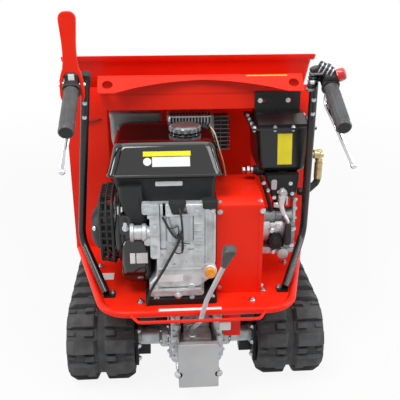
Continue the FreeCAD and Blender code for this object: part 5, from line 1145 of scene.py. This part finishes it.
def make_wires():
    """Short engine wires, tied along the crankcase, and the throttle cable down to the deck."""
    back = mm("engine_block")[0].y
    deck = mm("engine_deck")[1].z
    piece = Piece("engine_wiring")
    runs = ((2.4, ((-44, 12, 568), (-42, -3, 560), (-38, -3, 535), (-36, -2, 505), (-37, 0, 470), (-38, 0, 448))),
            (3.0, ((-84, -1, 545), (-72, -3, 520), (-58, -4, 494), (-44, -4, 486), (-37, -3, 500))),
            (3.5, ((-38, -4, 505), (-44, -5, 488), (-50, -5, 470), (-66, -5, 440), (-82, -4, 408), (-98, -1, 378),
                   (-112, -2, 356), (-124, -1, 330), (-128, -1, deck + 1))),
            (1.4, ((-76, -2, 520), (-60, -3, 512), (-48, -3, 524), (-44, -3, 505), (-50, -3, 490))),
            (1.4, ((-37, -3, 488), (-34, -3, 470), (-36, -2, 450), (-50, -2, 444), (-56, -2, 452))),
            (1.2, ((-44, -3, 476), (-30, -2, 474), (-18, -2, 472))))
    plane = back - 10.5
    for radius, points in runs:
        piece.take(HOSE, wire([(x, plane + y, z) for x, y, z in points], radius))
    piece.take(PLASTIC, rod((-41, plane - 4, 500), (-38, plane - 5, 486), 5.5, 1))
    piece.done("chassis", "hose_rubber")


def make_starter_side():
    """Fan housing with its shroud, the open basket of the starter and the cup it carries."""
    low, high = mm("fan_housing")
    cup_low, cup_high = mm("starter_cup")
    at, up = (low.y + high.y) / 2, (cup_low.z + cup_high.z) / 2
    piece = Piece("fan_shroud")
    fan = Vector((low.x, at, up + 8))
    piece.take(TANK, lathe(fan, X, ((0, 0), (0, 90), (4, 97), (10, 100), (60, 100), (74, 97), (84, 88), (88, 80),
                                    (88, 0)), 72))
    for travel in (12, 22):
        piece.take(PLASTIC, lathe(fan + X * travel, X, ((0, 0), (0, 100), (1.5, 102.5), (4.5, 102.5), (6, 100),
                                                        (6, 0)), 72))
    # Lower cover: bulges to the rear and rolls under at its foot.
    cover = ((334, 18, -72), (341, 8, -86), (352, 2, -95), (370, 0, -101), (400, 0, -104), (440, 0, -104),
             (456, 3, -101), (466, 8, -94))
    piece.take(TANK, stack(*[((-190 + inset, y), (-115 - inset, 60), z, 20, 6) for z, inset, y in cover]))
    # Funnel that narrows from the tank's skirt down to the boss.
    funnel = ((-166, -98, -124, 0, 496), (-170, -100, -120, 10, 520), (-182, -100, -126, 30, 548),
              (-190, -98, -132, 40, 575), (-190, -96, -132, 40, 606))
    piece.take(PLASTIC, stack(*[((x0, y0), (x1, y1), z, 14, 5) for x0, y0, x1, y1, z in funnel]))
    for x0, x1 in ((-152, -124), (-168, -155)):
        piece.take(WHITE_VINYL, block((x0, -104.8, 404), (x1, -103.6, 433), 0.2))
    piece.take(TANK, block((-192, -98, 480), (-160, -70, 534), 3, 12, "y"))
    piece.take(CHROME, lathe((-176, -97, 500), (0.2, -1, 0.1),
                             ((0, 0), (0, 9), (2.5, 9), (3.5, 7), (8, 6), (8, 0)), 20),
               block((-181, -112, 508), (-171, -98, 521), 1.5, 4, "y"))
    piece.done("chassis", "black_plastic", "fan_housing")

    starter = Piece("recoil_starter")
    # The basket: three hoops, each a little narrower than the last, and the bars between them.
    reach, round_off = 90, 40
    rear, front, foot, crown = at - reach, at + 84, up - 74, up + 106
    outline = rounded((rear, foot), (front, crown), round_off, 8)
    for x, shrink, thick in ((-209, 0, 4.2), (-224, 2, 3.0), (-240, 6, 4.2)):
        size = 1 - shrink / reach
        loop = [Vector((x, at + (y - at) * size, up + (z - up) * size)) for y, z in outline]
        starter.take(PLASTIC, loft(hoop(loop, thick), True))
    spots = [outline[i] for i in range(0, len(outline), 3)]
    spots += [(y, foot + round_off + 20 * i) for y in (rear, front) for i in range(6)]
    spots += [(rear + round_off + 19 * i, z) for z in (crown, foot) for i in range(6)]
    for y, z in spots:
        inner = Vector((-240, at + (y - at) * 0.94, up + (z - up) * 0.94))
        starter.take(PLASTIC, bar([(-206, y, z), inner], 3.0, 0, 8))
    centre = Vector((cup_high.x, at, up))
    starter.take(PLASTIC, lathe(centre - X * 2, -X, ((0, 0), (0, 56), (14, 58), (26, 57), (30, 58), (32, 62),
                                                     (36, 62), (46, 57), (56, 47), (61, 34), (63, 18), (63, 0)), 56))
    starter.take(CHROME, rod(centre + Vector((-48, -44, 16)), centre + Vector((-56, -52, 18)), 6.5, 2, 20))
    for turn in range(30, 390, 60):
        a = math.radians(turn)
        out = Vector((0, math.cos(a), math.sin(a)))
        starter.take(PLASTIC, bar([centre - X * 30 + out * 52, centre - X * 34 + out * 84], (7, 5), 0, 8, 0.6, 0.6))
    starter.take(TANK, lathe(centre + X, -X, ((0, 0), (0, 80), (6, 76), (8, 60), (8, 0)), 56))
    starter.done("chassis", "black_plastic", "starter_cup")


def make_tank():
    """Pressed fuel tank: two shells joined at a flanged seam, with its cap and labels."""
    low, high = mm("fuel_tank")
    seam = low.z + 4
    piece = Piece("pressed_fuel_tank")
    x0, x1, y0, y1, top = low.x + 3, high.x - 3, low.y + 3, high.y - 3, high.z
    # Each level: how far it stands in from the sides, the rear and the front, its height and its corners.
    levels = ((-3, -3, -3, seam - 4, 22), (-3, -3, -3, seam - 0.5, 22), (-1.5, -1.5, -1.5, seam + 0.8, 21),
              (0, 0, 0, seam + 1.5, 20), (4, 7, 2, seam + 14, 22), (11, 24, 5, seam + 44, 26),
              (14, 31, 7, seam + 58, 28), (17, 36, 9, seam + 64, 30), (22, 42, 13, top - 2.4, 30),
              (30, 50, 20, top - 0.4, 26), (40, 60, 30, top, 20))
    piece.take(TANK, stack(*[((x0 + aside, y0 + rear), (x1 - aside, y1 - front), z, corner, 6)
                             for aside, rear, front, z, corner in levels]))
    cap_low, cap_high = mm("fuel_cap")
    cap = Vector(((cap_low.x + cap_high.x) / 2, (cap_low.y + cap_high.y) / 2, cap_low.z))
    piece.take(TANK, lathe(cap - Z * 2, Z, ((0, 0), (0, 44), (3, 43), (5.5, 38), (5.5, 0)), 40))
    foot, crown = Vector((0, y0 + 7, seam + 14)), Vector((0, y0 + 31, seam + 58))
    rise = (crown - foot).length
    lay = facing(foot, X, (crown - foot).normalized())

    def band(start, end, low_share, high_share):
        """A label's corners: along the tank in millimetres, up its rear face in shares of its height."""
        return [(start, rise * high_share), (start, rise * low_share), (end, rise * low_share),
                (end, rise * high_share)]

    piece.take(YELLOW_VINYL, label(band(-128, -12, 0.62, 0.86), lay))
    piece.take(WHITE_VINYL, label(band(-106, -14, 0.10, 0.58), lay), label(hole(-118, rise * 0.36, 10), lay))
    piece.done("chassis", "tank_black", "fuel_tank")

    lid = Piece("fuel_filler_cap")
    lid.take(CAP_STEEL, lathe(cap + Z * 3.6, Z, ((0, 0), (0, 36), (2, 38), (11, 38), (14.5, 35), (16, 30),
                                                 (16.2, 22), (15.2, 18), (15.2, 0)), 48))
    scallop = rod(cap + Vector((38, 0, 4.6)), cap + Vector((36.8, 0, 17.2)), 4.2, 1.4, 12)
    lid.take_mesh(ring(CAP_STEEL, scallop, 16, cap, Z))
    # Thin red ring, sunk just under the top of the cap: a painted reflection of the red hood.
    lid.take(RED_ABS_AND_PAINTED_REFLECTION, lathe(cap + Z * 17.0, Z, ((0, 0), (0, 20.5), (0.9, 20), (0.9, 0)), 40))
    lid.take(CAP_STEEL, lathe(cap + Z * 17.4, Z, ((0, 0), (0, 18), (1.2, 17), (1.6, 12), (1.6, 0)), 32))
    lid.done("chassis", "cast_aluminium", "fuel_cap")

    low, high = mm("tank_cover")
    cover = Piece("tank_skirt")
    cover.take(PLASTIC, stack(((low.x + 16, low.y + 1), (high.x - 6, high.y - 70), low.z - 8, 10),
                              ((low.x + 10, low.y), (high.x - 3, high.y - 50), low.z + 12, 12),
                              ((low.x + 2, low.y), (high.x, high.y - 6), high.z - 18, 14),
                              *[((low.x, low.y), (high.x, high.y), z, 14) for z in (high.z - 4, high.z + 0.2)]),
               block((low.x + 10, low.y - 2.5, high.z - 12), (high.x - 6, low.y + 3, high.z - 6), 1.2))
    cover.take(WHITE_VINYL, block((-100, low.y - 1.2, 599), (-33, low.y + 1, 611), 0.5, 3, "y"))
    cover.done("chassis", "black_plastic", "tank_cover")


def make_air_filter():
    """Moulded air filter housing with a lid seam."""
    low, high = mm("air_filter")
    piece = Piece("air_filter_housing")
    piece.take(FILTER, stack(((low.x + 8, 196), (high.x - 12, high.y - 4), 612, 12),
                             ((low.x + 3, 191), (high.x - 8, high.y - 1), 640, 14),
                             ((low.x + 2, 190.4), (high.x - 7, high.y), high.z - 16, 14),
                             *[((low.x, 190), (high.x - 6, high.y), z, 14) for z in (high.z - 15, high.z - 6)],
                             ((low.x + 2, 192), (high.x - 8, high.y - 2), high.z - 2, 13),
                             ((low.x + 8, 198), (high.x - 14, high.y - 8), high.z, 10)))
    piece.take(PLASTIC, block((high.x - 46, 150, 560), (high.x, 230, 616), 3, 10, "z"))
    piece.done("chassis", "filter_grey", "air_filter")


def make_silencer():
    """Silencer under its perforated guard, and the wire cage beside it."""
    low, high = mm("silencer")
    guard = Piece("silencer_guard")
    guard.take(CAST, stack(((low.x + 4, low.y + 4), (high.x - 4, high.y - 2), 580, 16),
                           *[((low.x, low.y), (high.x, high.y), z, 18) for z in (592, high.z - 12)],
                           ((low.x + 3, low.y + 3), (high.x - 3, high.y - 3), high.z - 3, 16),
                           ((low.x + 10, low.y + 10), (high.x - 10, high.y - 10), high.z, 12)),
               block((low.x + 18, low.y - 54, 556), (low.x + 62, high.y - 18, 584), 3, 8, "z"))
    # Two rows of slots in its rear face and one in its top.
    for y, z in (((-0.7, 3), (high.z - 24, high.z - 6)), ((-0.7, 3), (606, high.z - 32)),
                 ((8, 30), (high.z - 3, high.z + 0.4))):
        slot = block((low.x + 10, low.y + y[0], z[0]), (low.x + 15, low.y + y[1], z[1]), 0.6)
        guard.take_mesh(row(PLASTIC, slot, 13, (8.6, 0, 0)))
    guard.done("chassis", "grey_paint", "silencer")

    low, high = mm("silencer_cage")
    cage = Piece("exhaust_cage")
    cage.take(CHASSIS_BLACK_AND_PAINTED_SHADE, block(low + Vector((1, 5, 2)), high - Vector((6, 4, 3)), 2))
    corners = ((low.x + 0.5, low.y + 1.6, 0), (high.x - 2, low.y + 1.6, 0), (high.x - 2, high.y - 2, 0))
    loop = bar(corners, 1.5, 5, 8, 0.3)
    bmesh.ops.translate(loop, vec=(0, 0, low.z + 3), verts=loop.verts)
    cage.take_mesh(row(CAP_STEEL, loop, 9, (0, 0, (high.z - low.z - 6) / 8)))
    post = bar([(low.x + 22, low.y + 3.2, low.z + 1), (low.x + 22, low.y + 3.2, high.z - 1)], 1.3, 0, 8, 0.3)
    cage.take_mesh(row(CAP_STEEL, post, 2, (20, 0, 0)))
    cage.done("chassis", "zinc_steel", "silencer_cage")


# ------------------------------------------------------------------ belt cover and hydraulics
def make_belt_cover():
    """Folded red cover with side flanges, screwed at each fold."""
    low, high = mm("belt_cover")
    piece = Piece("belt_guard")
    fold = 18
    side = [(low.y, low.z), (low.y, high.z - fold), (low.y + 0.8, high.z - fold + 5), (low.y + 3, high.z - fold + 8),
            (low.y + 30, high.z - 3), (low.y + 40, high.z), (high.y - 30, high.z), (high.y - 10, high.z - 5),
            (high.y - 2, high.z - 18), (high.y, high.z - 30), (high.y, low.z)]
    body = loft([[Vector((x, y, z)) for y, z in side] for x in (low.x, high.x)])
    bmesh.ops.recalc_face_normals(body, faces=body.faces)
    bevel(body, 1.4, 3, above=65)
    piece.take(RED, body, *[block((start, low.y - 1.6, low.z + 10), (end, low.y + 4, high.z - fold), 0.6)
                            for start, end in ((low.x - 0.1, low.x + 14), (high.x - 10, high.x + 0.1))])
    for x in (low.x + 8, high.x - 8):
        bolt((x, low.y + 13, high.z - 7.4), (0, -0.25, 0.97), 4.5)
    for x in (low.x + 8, high.x - 4):
        bolt((x, low.y - 1.6, high.z - fold - 10), -Y, 5)
    bolt((low.x + 9, low.y - 1.6, low.z + 18), -Y, 4.5)
    bolt((high.x, low.y + 14, low.z + 12), X, 6)
    bolt((high.x + 6, low.y + 6, low.z + 1), Z, 6)
    bolt((high.x, low.y + 24, high.z - fold - 18), X, 6)
    piece.done("chassis", "red_paint", "belt_cover")


def make_oil_tank():
    """Welded oil tank with a bolted flange, its lid, the hanger plate and a blank yellow label."""
    low, high = mm("oil_tank")
    x0, x1, y0, y1 = low.x + 15, high.x - 15, low.y + 8, high.y - 12
    flange = high.z - 6
    piece = Piece("oil_reservoir")
    # Each level: how far it stands in from the left, the rear, the right and the front, its height and corners.
    levels = ((24, 24, 22, 16, low.z, 10), (16, 16, 14, 8, low.z + 1.5, 12), (10, 11, 8, 4, low.z + 7, 14),
              (7, 8, 5, 3, low.z + 16, 15), (6, 7, 4, 3, low.z + 30, 15), (0, 0, 0, 0, flange + 1, 14))
    piece.take(TUBE_BLACK, stack(*[((x0 + left, y0 + rear), (x1 - right, y1 - front), z, corner, 6)
                                   for left, rear, right, front, z, corner in levels]),
               block((low.x, low.y, flange), (high.x, high.y, high.z), 0.8, 5, "z"))
    bolts = [(x, low.y + along) for x in (low.x + 7, high.x - 7) for along in (7, 48, 90, 132)]
    bolts += [(x, low.y + 7) for x in (x0 + 46, x1 - 46)]
    for x, y in bolts:
        bolt((x, y, high.z), Z, 4.6)
        bolt((x, y, flange), -Z, 4.0)
    foot, crown = Vector((0, y0 + 7, low.z + 30)), Vector((0, y0, flange + 1))
    height = (crown - foot).length - 12
    piece.take(YELLOW_VINYL, label([(221, -7), (259, -7), (255, height), (217, height)],
                                   facing(foot, X, (crown - foot).normalized()), 0.3))
    piece.done("chassis", "black_paint", "oil_tank")

    low, high = mm("oil_tank_bracket")
    bracket = Piece("oil_tank_hanger")
    lid = [(low.y + 1, low.z), (low.y + 1, low.z + 5), (high.y - 36, low.z + 22), (high.y - 30, low.z + 24),
           (high.y, low.z + 24), (high.y, low.z)]
    body = loft([[Vector((x, y, z)) for y, z in lid] for x in (low.x, low.x + 126)])
    bevel(body, 1.0, 2, above=30)
    bracket.take(TUBE_BLACK, body)
    end, height = high.x - 4, high.z - low.z
    bracket.take(CHASSIS_BLACK_AND_PAINTED_SHADE, sheet([(low.x, 0), (end, 0), (end, height), (low.x, height)],
                                [slot_hole(x, 49, 12, 4.2) for x in (188, 262)], 4, facing((0, high.y, low.z), X, Z)))
    for x in (182, 257):
        bolt((x, high.y - 4, low.z + 50), -Y, 4.8)
    bracket.done("chassis", "black_paint", "oil_tank_bracket")


def make_hydraulics():
    """Valve with its lever, the pump, and the fittings of the hose between tank and valve."""
    low, high = mm("hydraulic_valve")
    pipe_y, pipe_z = 60, 588
    piece = Piece("control_valve")
    piece.take(CHASSIS_BLACK_AND_PAINTED_SHADE, stack(((208, low.y + 2), (270, high.y - 4), low.z, 6),
                              ((200, low.y), (276, high.y), low.z + 26, 6),
                              ((190, low.y), (high.x - 3, high.y), high.z - 12, 6),
                              ((190, low.y + 2), (high.x - 3, high.y), high.z - 2, 6)),
               rod((236, pipe_y, high.z - 6), (236, pipe_y, high.z + 12), 18, 2))
    piece.take(GREY, block((204, low.y - 3, 547), (219, low.y + 3, 575), 1.2, 5, "y"),
               rod((235, low.y + 2, 544), (235, low.y - 12, 544), 8, 1.5))
    piece.take(CHASSIS_BLACK_AND_PAINTED_SHADE, bar([(170, pipe_y, pipe_z), (190, 56, pipe_z)], 15, 0, 20, 1.5))
    for x in (131, 143, 153):
        piece.take(ZINC, rod((x, pipe_y, pipe_z), (x + 9, pipe_y, pipe_z), 12 if x == 143 else 9, 1.5, 6))
    piece.take(CHASSIS_BLACK_AND_PAINTED_SHADE, rod((160, pipe_y, pipe_z), (176, pipe_y, pipe_z), 12, 1),
               bar([(176, 22, 586), (192, 20, 540), (207, 20, 488)], 5, 20, 12))
    for x, z in ((184, 566), (196, 545), (226, 540), (214, 524), (256, 563), (262, 534)):
        bolt((x, low.y + 0.5, z), -Y, 4)
    piece.done("chassis", "black_paint", "hydraulic_valve")

    lever = Piece("valve_lever")
    lever.take(GREY, lathe((236, low.y - 2, 539), -Y, ((0, 0), (0, 9), (3, 11), (9, 11), (12, 8), (12, 0)), 28))
    lever.take(GREY, *[block((x, low.y - 16, 506), (x + 5, low.y + 2, 532), 1.5, 4, "x") for x in (224, 243)])
    lever.take(GREY, bar([(237, low.y - 11, 533), (229, low.y - 20, 511), (234, low.y - 29, 492),
                          (244, low.y - 36, 476)], (8, 5), 14, 14, 1, 0.5))
    lever.take(ZINC, bar([(236, low.y - 32, 487), (246, low.y - 38, 472), (247, low.y - 40, 458)], 4.2, 12, 12))
    grip = ((467, 4.5), (463, 7.5), (448, 9), (424, 9.8), (410, 9.6), (405, 7.5), (403, 4))
    flatness, roundness = 0.8, 0.5
    lever.take(PLASTIC, loft([[Vector((247 + x, low.y - 40 + y, z))
                               for x, y in rounded((-w, -w * flatness), (w, w * flatness), w * roundness)]
                              for z, w in grip]))
    lever.done("chassis", "grey_paint")

    low, high = mm("hydraulic_pump")
    pump = Piece("gear_pump")
    at, end = 35, 277
    pump.take(CAP_STEEL, lathe((178, at, 462), X, ((0, 0), (0, 22), (3, 25), (40, 25), (42, 22), (60, 22), (62, 25),
                                                 (86, 25), (89, 22), (89, 0)), 48))
    pump.take(CAST, lathe((180, at, 430), X, ((0, 0), (0, 34), (3, 37), (22, 37), (26, 33), (58, 33), (62, 37),
                                              (84, 37), (88, 33), (88, 0)), 48))
    # Black block between the pump's body and its foot: painted shade of the dark opening there.
    pump.take(CHASSIS_BLACK_AND_PAINTED_SHADE, block((200, low.y - 3, 384), (236, at, 428), 3, 12, "y"))
    pump.take(CAST, block((180, low.y + 4, 368), (end - 8, at + 30, 388), 3, 8, "y"))
    pump.take(CAP_STEEL, block((240, low.y - 1, 384), (end - 8, at + 10, 462), 3, 9, "y"))
    pump.take(CAST, block((end - 9, at - 6, 400), (end, at + 34, 512), 2.5, 12, "x"))
    for z in (504, 478, 450, 416):
        bolt((end, at + 13, z), X, 6)
    pump.take(GREY, lathe((238, low.y + 1, 372), -Y, ((0, 0), (0, 14), (2, 15), (9, 15), (11, 12), (11, 0)), 28))
    pump.take(ZINC, rod((212, low.y + 4, 378), (212, low.y - 8, 378), 6, 1, 6),
              rod((206, low.y + 4, 440), (206, low.y - 4, 440), 8, 1.5, 6))
    pump.take(PLASTIC, rod((218, low.y + 2, 408), (218, low.y - 5, 408), 12, 2))
    pump.take(CAST, rod((224, low.y + 2, 452), (224, low.y - 2, 452), 9, 1.5))
    pump.take(CHASSIS_BLACK_AND_PAINTED_SHADE, rod((226, at, 480), (226, at, 526), 11, 1))
    pump.take(ZINC, rod((226, at, 492), (226, at, 506), 15, 1, 6))
    for z in (396, 444):
        bolt((262, -12, z), -Y, 4.6)
    pump.done("chassis", "cast_aluminium", "hydraulic_pump")

    low, high = mm("hose_fitting")
    y, up, elbow = (low.y + high.y) / 2, 634, 334
    fit = Piece("hose_fittings")
    fit.take(BRASS, rod((low.x, y, up), (320, y, up), 7, 0.5))
    fit.take(CHASSIS_BLACK_AND_PAINTED_SHADE, rod((low.x + 4, y, up), (low.x + 14, y, up), 11, 1, 6))
    fit.take(BRASS, rod((318, y, up), (elbow, y, up), 12, 1.5), rod((elbow, y, up), (345, y, up), 9.5, 1, 6),
             lathe((elbow, y, up + 12), -Z, ((0, 0), (0, 6), (2, 8), (26, 7.5), (27, 10), (30, 10), (31, 8), (40, 8),
                                             (40, 0)), 24),
             lathe((elbow, y, 612), -Z, ((0, 0), (0, 9), (1, 10.6), (44, 10.6), (46, 9.4), (46, 0)), 24))
    fit.take(CHASSIS_BLACK_AND_PAINTED_SHADE, rod((283, y, 529), (294, y, 529), 11, 1, 6))
    fit.done("chassis", "brass", "hose_fitting")


def make_thin_cables():
    """Cream breather pipe beside the fuel tank, and the clutch cable's end on the bulkhead."""
    piece = Piece("thin_cables")
    piece.take(SLEEVE, wire([(46, 146, 692), (56, 110, 690), (64, 96, 672), (72, 88, 640), (86, 90, 596),
                             (93, 96, 551)], 1.8))
    back = mm("bulkhead")[0].y
    piece.take(HOSE, wire([(-290, back - 4, 689), (-268, back - 6, 692), (-249, back - 1.6, 697)], 1.8))
    piece.done("chassis", "hose_rubber")


def make_cylinder():
    """Barrel with its gland and welded port, and the chromed rod with its eye."""
    low, rod_high = mm("cylinder_barrel")[0], mm("cylinder_rod")[1]
    eye_radius, bore = 20, 14.3
    eye = Vector((0, rod_high.y - eye_radius, rod_high.z - eye_radius))
    foot = Vector((0, low.y + eye_radius, low.z + eye_radius))
    along, length = (eye - foot).normalized(), (eye - foot).length
    barrel = Piece("cylinder_tube")
    barrel.take(CHASSIS_BLACK_AND_PAINTED_SHADE, lathe(foot, along, ((28, 0), (28, 22), (31, 25), (300, 25), (301, 27), (326, 27), (329, 25),
                                             (330, bore), (290, bore), (290, 0)), 40))
    ringed = [circle(foot + X * x, X, r, 32) for x, r in ((-15, 10.1), (-15, 19), (-14, 20), (14, 20), (15, 19),
                                                          (15, 10.1))]
    barrel.take(CHASSIS_BLACK_AND_PAINTED_SHADE, loft(ringed, True),
                rod(foot + along * 18, foot + along * 32, 14, 1))
    up = (Z - along * along.z).normalized()
    port = foot + along * 52
    barrel.take(CHASSIS_BLACK_AND_PAINTED_SHADE, rod(port + up * 20, port + up * 34, 9, 1))
    barrel.take(ZINC, rod(port + up * 34, port + up * 42, 8, 1, 6))
    barrel.done("barrel", "black_paint", "cylinder_barrel")
    shaft = Piece("piston_rod")
    shaft.take(CHROME, lathe(foot, along, ((42, 0), (42, 13), (43, 14), (length - 30, 14), (length - 8, 14),
                                           (length - 8, 0)), 32))
    shaft.take(CHASSIS_BLACK_AND_PAINTED_SHADE, lathe(foot + along * (length - 34), along,
                              ((0, 0), (0, 15.5), (2, 17), (18, 17), (18, 0)), 32),
               lathe(eye - X * 15, X, ((0, 0), (0, 19), (1, 20), (29, 20), (30, 19), (30, 0)), 32))
    shaft.take(ZINC, rod(eye - X * 18, eye + X * 18, 10, 1))
    shaft.done("rod", "chrome_rod", "cylinder_rod")


# ------------------------------------------------------------------ camera, floor and light
def make_camera():
    """Standing behind the handles, looking a little down and to the right."""
    data = bpy.data.cameras.new("camera")
    data.lens = 55.8
    data.clip_end = 60
    camera = put("camera", data)
    camera.location = (-0.082, AXLE - 1.495, 1.150)
    camera.rotation_euler = (math.radians(90 - 22.5), 0, math.radians(-3.7))
    bpy.context.scene.camera = camera


def seen_directly(tree):
    """1 for rays of the camera and of mirrors and glass, 0 for those that only carry light."""
    rays = add(tree, "ShaderNodeLightPath")
    seen = add(tree, "ShaderNodeMath", {0: rays.outputs["Is Camera Ray"], 1: rays.outputs["Is Glossy Ray"]},
               operation="MAXIMUM")
    return add(tree, "ShaderNodeMath", {0: seen.outputs[0], 1: rays.outputs["Is Transmission Ray"]},
               operation="MAXIMUM").outputs[0]


def studio_paper():
    """White paper that reads as white and keeps a soft shadow."""
    paper = finish("white studio paper", "#d2d2d2", "#cecece", 900, 40, 0.9, 0.0)
    tree = paper.node_tree
    shader, out = tree.nodes["Principled BSDF"], tree.nodes["Material Output"]
    glow = add(tree, "ShaderNodeEmission", {"Color": (1, 1, 1, 1), "Strength": 1.0})
    spot = add(tree, "ShaderNodeTexCoord").outputs["Object"]
    away = add(tree, "ShaderNodeVectorMath", {0: spot}, operation="LENGTH").outputs["Value"]
    white = add(tree, "ShaderNodeMapRange", {"Value": away, "From Min": 0.9, "From Max": 3.2, "To Min": 0.9,
                                             "To Max": 1.0}, interpolation_type="SMOOTHSTEP")
    share = add(tree, "ShaderNodeMath", {0: seen_directly(tree), 1: white.outputs["Result"]}, operation="MULTIPLY")
    both = add(tree, "ShaderNodeMixShader", {0: share.outputs[0], 1: shader.outputs[0], 2: glow.outputs[0]})
    tree.links.new(both.outputs[0], out.inputs["Surface"])
    return paper


def make_room():
    """White studio: pale floor, a world that is white to the camera and to reflections, soft lamps."""
    world = bpy.data.worlds.new("studio")
    bpy.context.scene.world = world
    world.use_nodes = True
    tree = world.node_tree
    strength = add(tree, "ShaderNodeMapRange", {"Value": seen_directly(tree), "To Min": 0.22, "To Max": 1.0})
    background = tree.nodes["Background"]
    background.inputs["Color"].default_value = (1, 1, 1, 1)
    tree.links.new(strength.outputs["Result"], background.inputs["Strength"])

    ground = bmesh.new()
    bmesh.ops.create_grid(ground, x_segments=1, y_segments=1, size=20)
    floor = put("floor", as_data(ground, "floor"))
    floor.location.z = -0.0005
    floor.data.materials.append(studio_paper())

    for name, place, aim, size, power in (("key", (-1.1, -1.9, 3.7), (0, 0, 0.5), (1.6, 1.6), 92),
                                          ("fill", (1.7, -1.9, 3.1), (0, 0, 0.5), (1.8, 1.8), 44),
                                          ("top", (0, 0.6, 3.6), (0, 0, 0.4), (2.6, 2.6), 26),
                                          ("left strip", (-2.0, -0.5, 1.2), (0, -0.4, 0.6), (0.3, 1.5), 16),
                                          ("right strip", (2.0, -0.7, 1.2), (0, -0.4, 0.6), (0.3, 1.5), 16)):
        data = bpy.data.lights.new(name, "AREA")
        data.shape = "RECTANGLE"
        data.size, data.size_y = size
        data.energy = power
        lamp = put(name, data)
        lamp.location = place
        lamp.rotation_euler = (Vector(aim) - Vector(place)).to_track_quat("-Z", "Y").to_euler()


for side, sign in SIDES:
    make_track(side)
    make_running_gear(side, sign)
    make_handle(side, sign)
for make_one in (make_skip, make_hood, make_deck_details, make_clutch_lever, make_throttle, make_gearbox,
                 make_shield, make_gear_knob, make_mount, make_engine, make_wires, make_starter_side, make_tank,
                 make_air_filter, make_silencer, make_belt_cover, make_oil_tank, make_hydraulics,
                 make_thin_cables, make_cylinder, make_bolts):
    make_one()
make_camera()
make_room()
bpy.context.scene.view_settings.view_transform = "Standard"
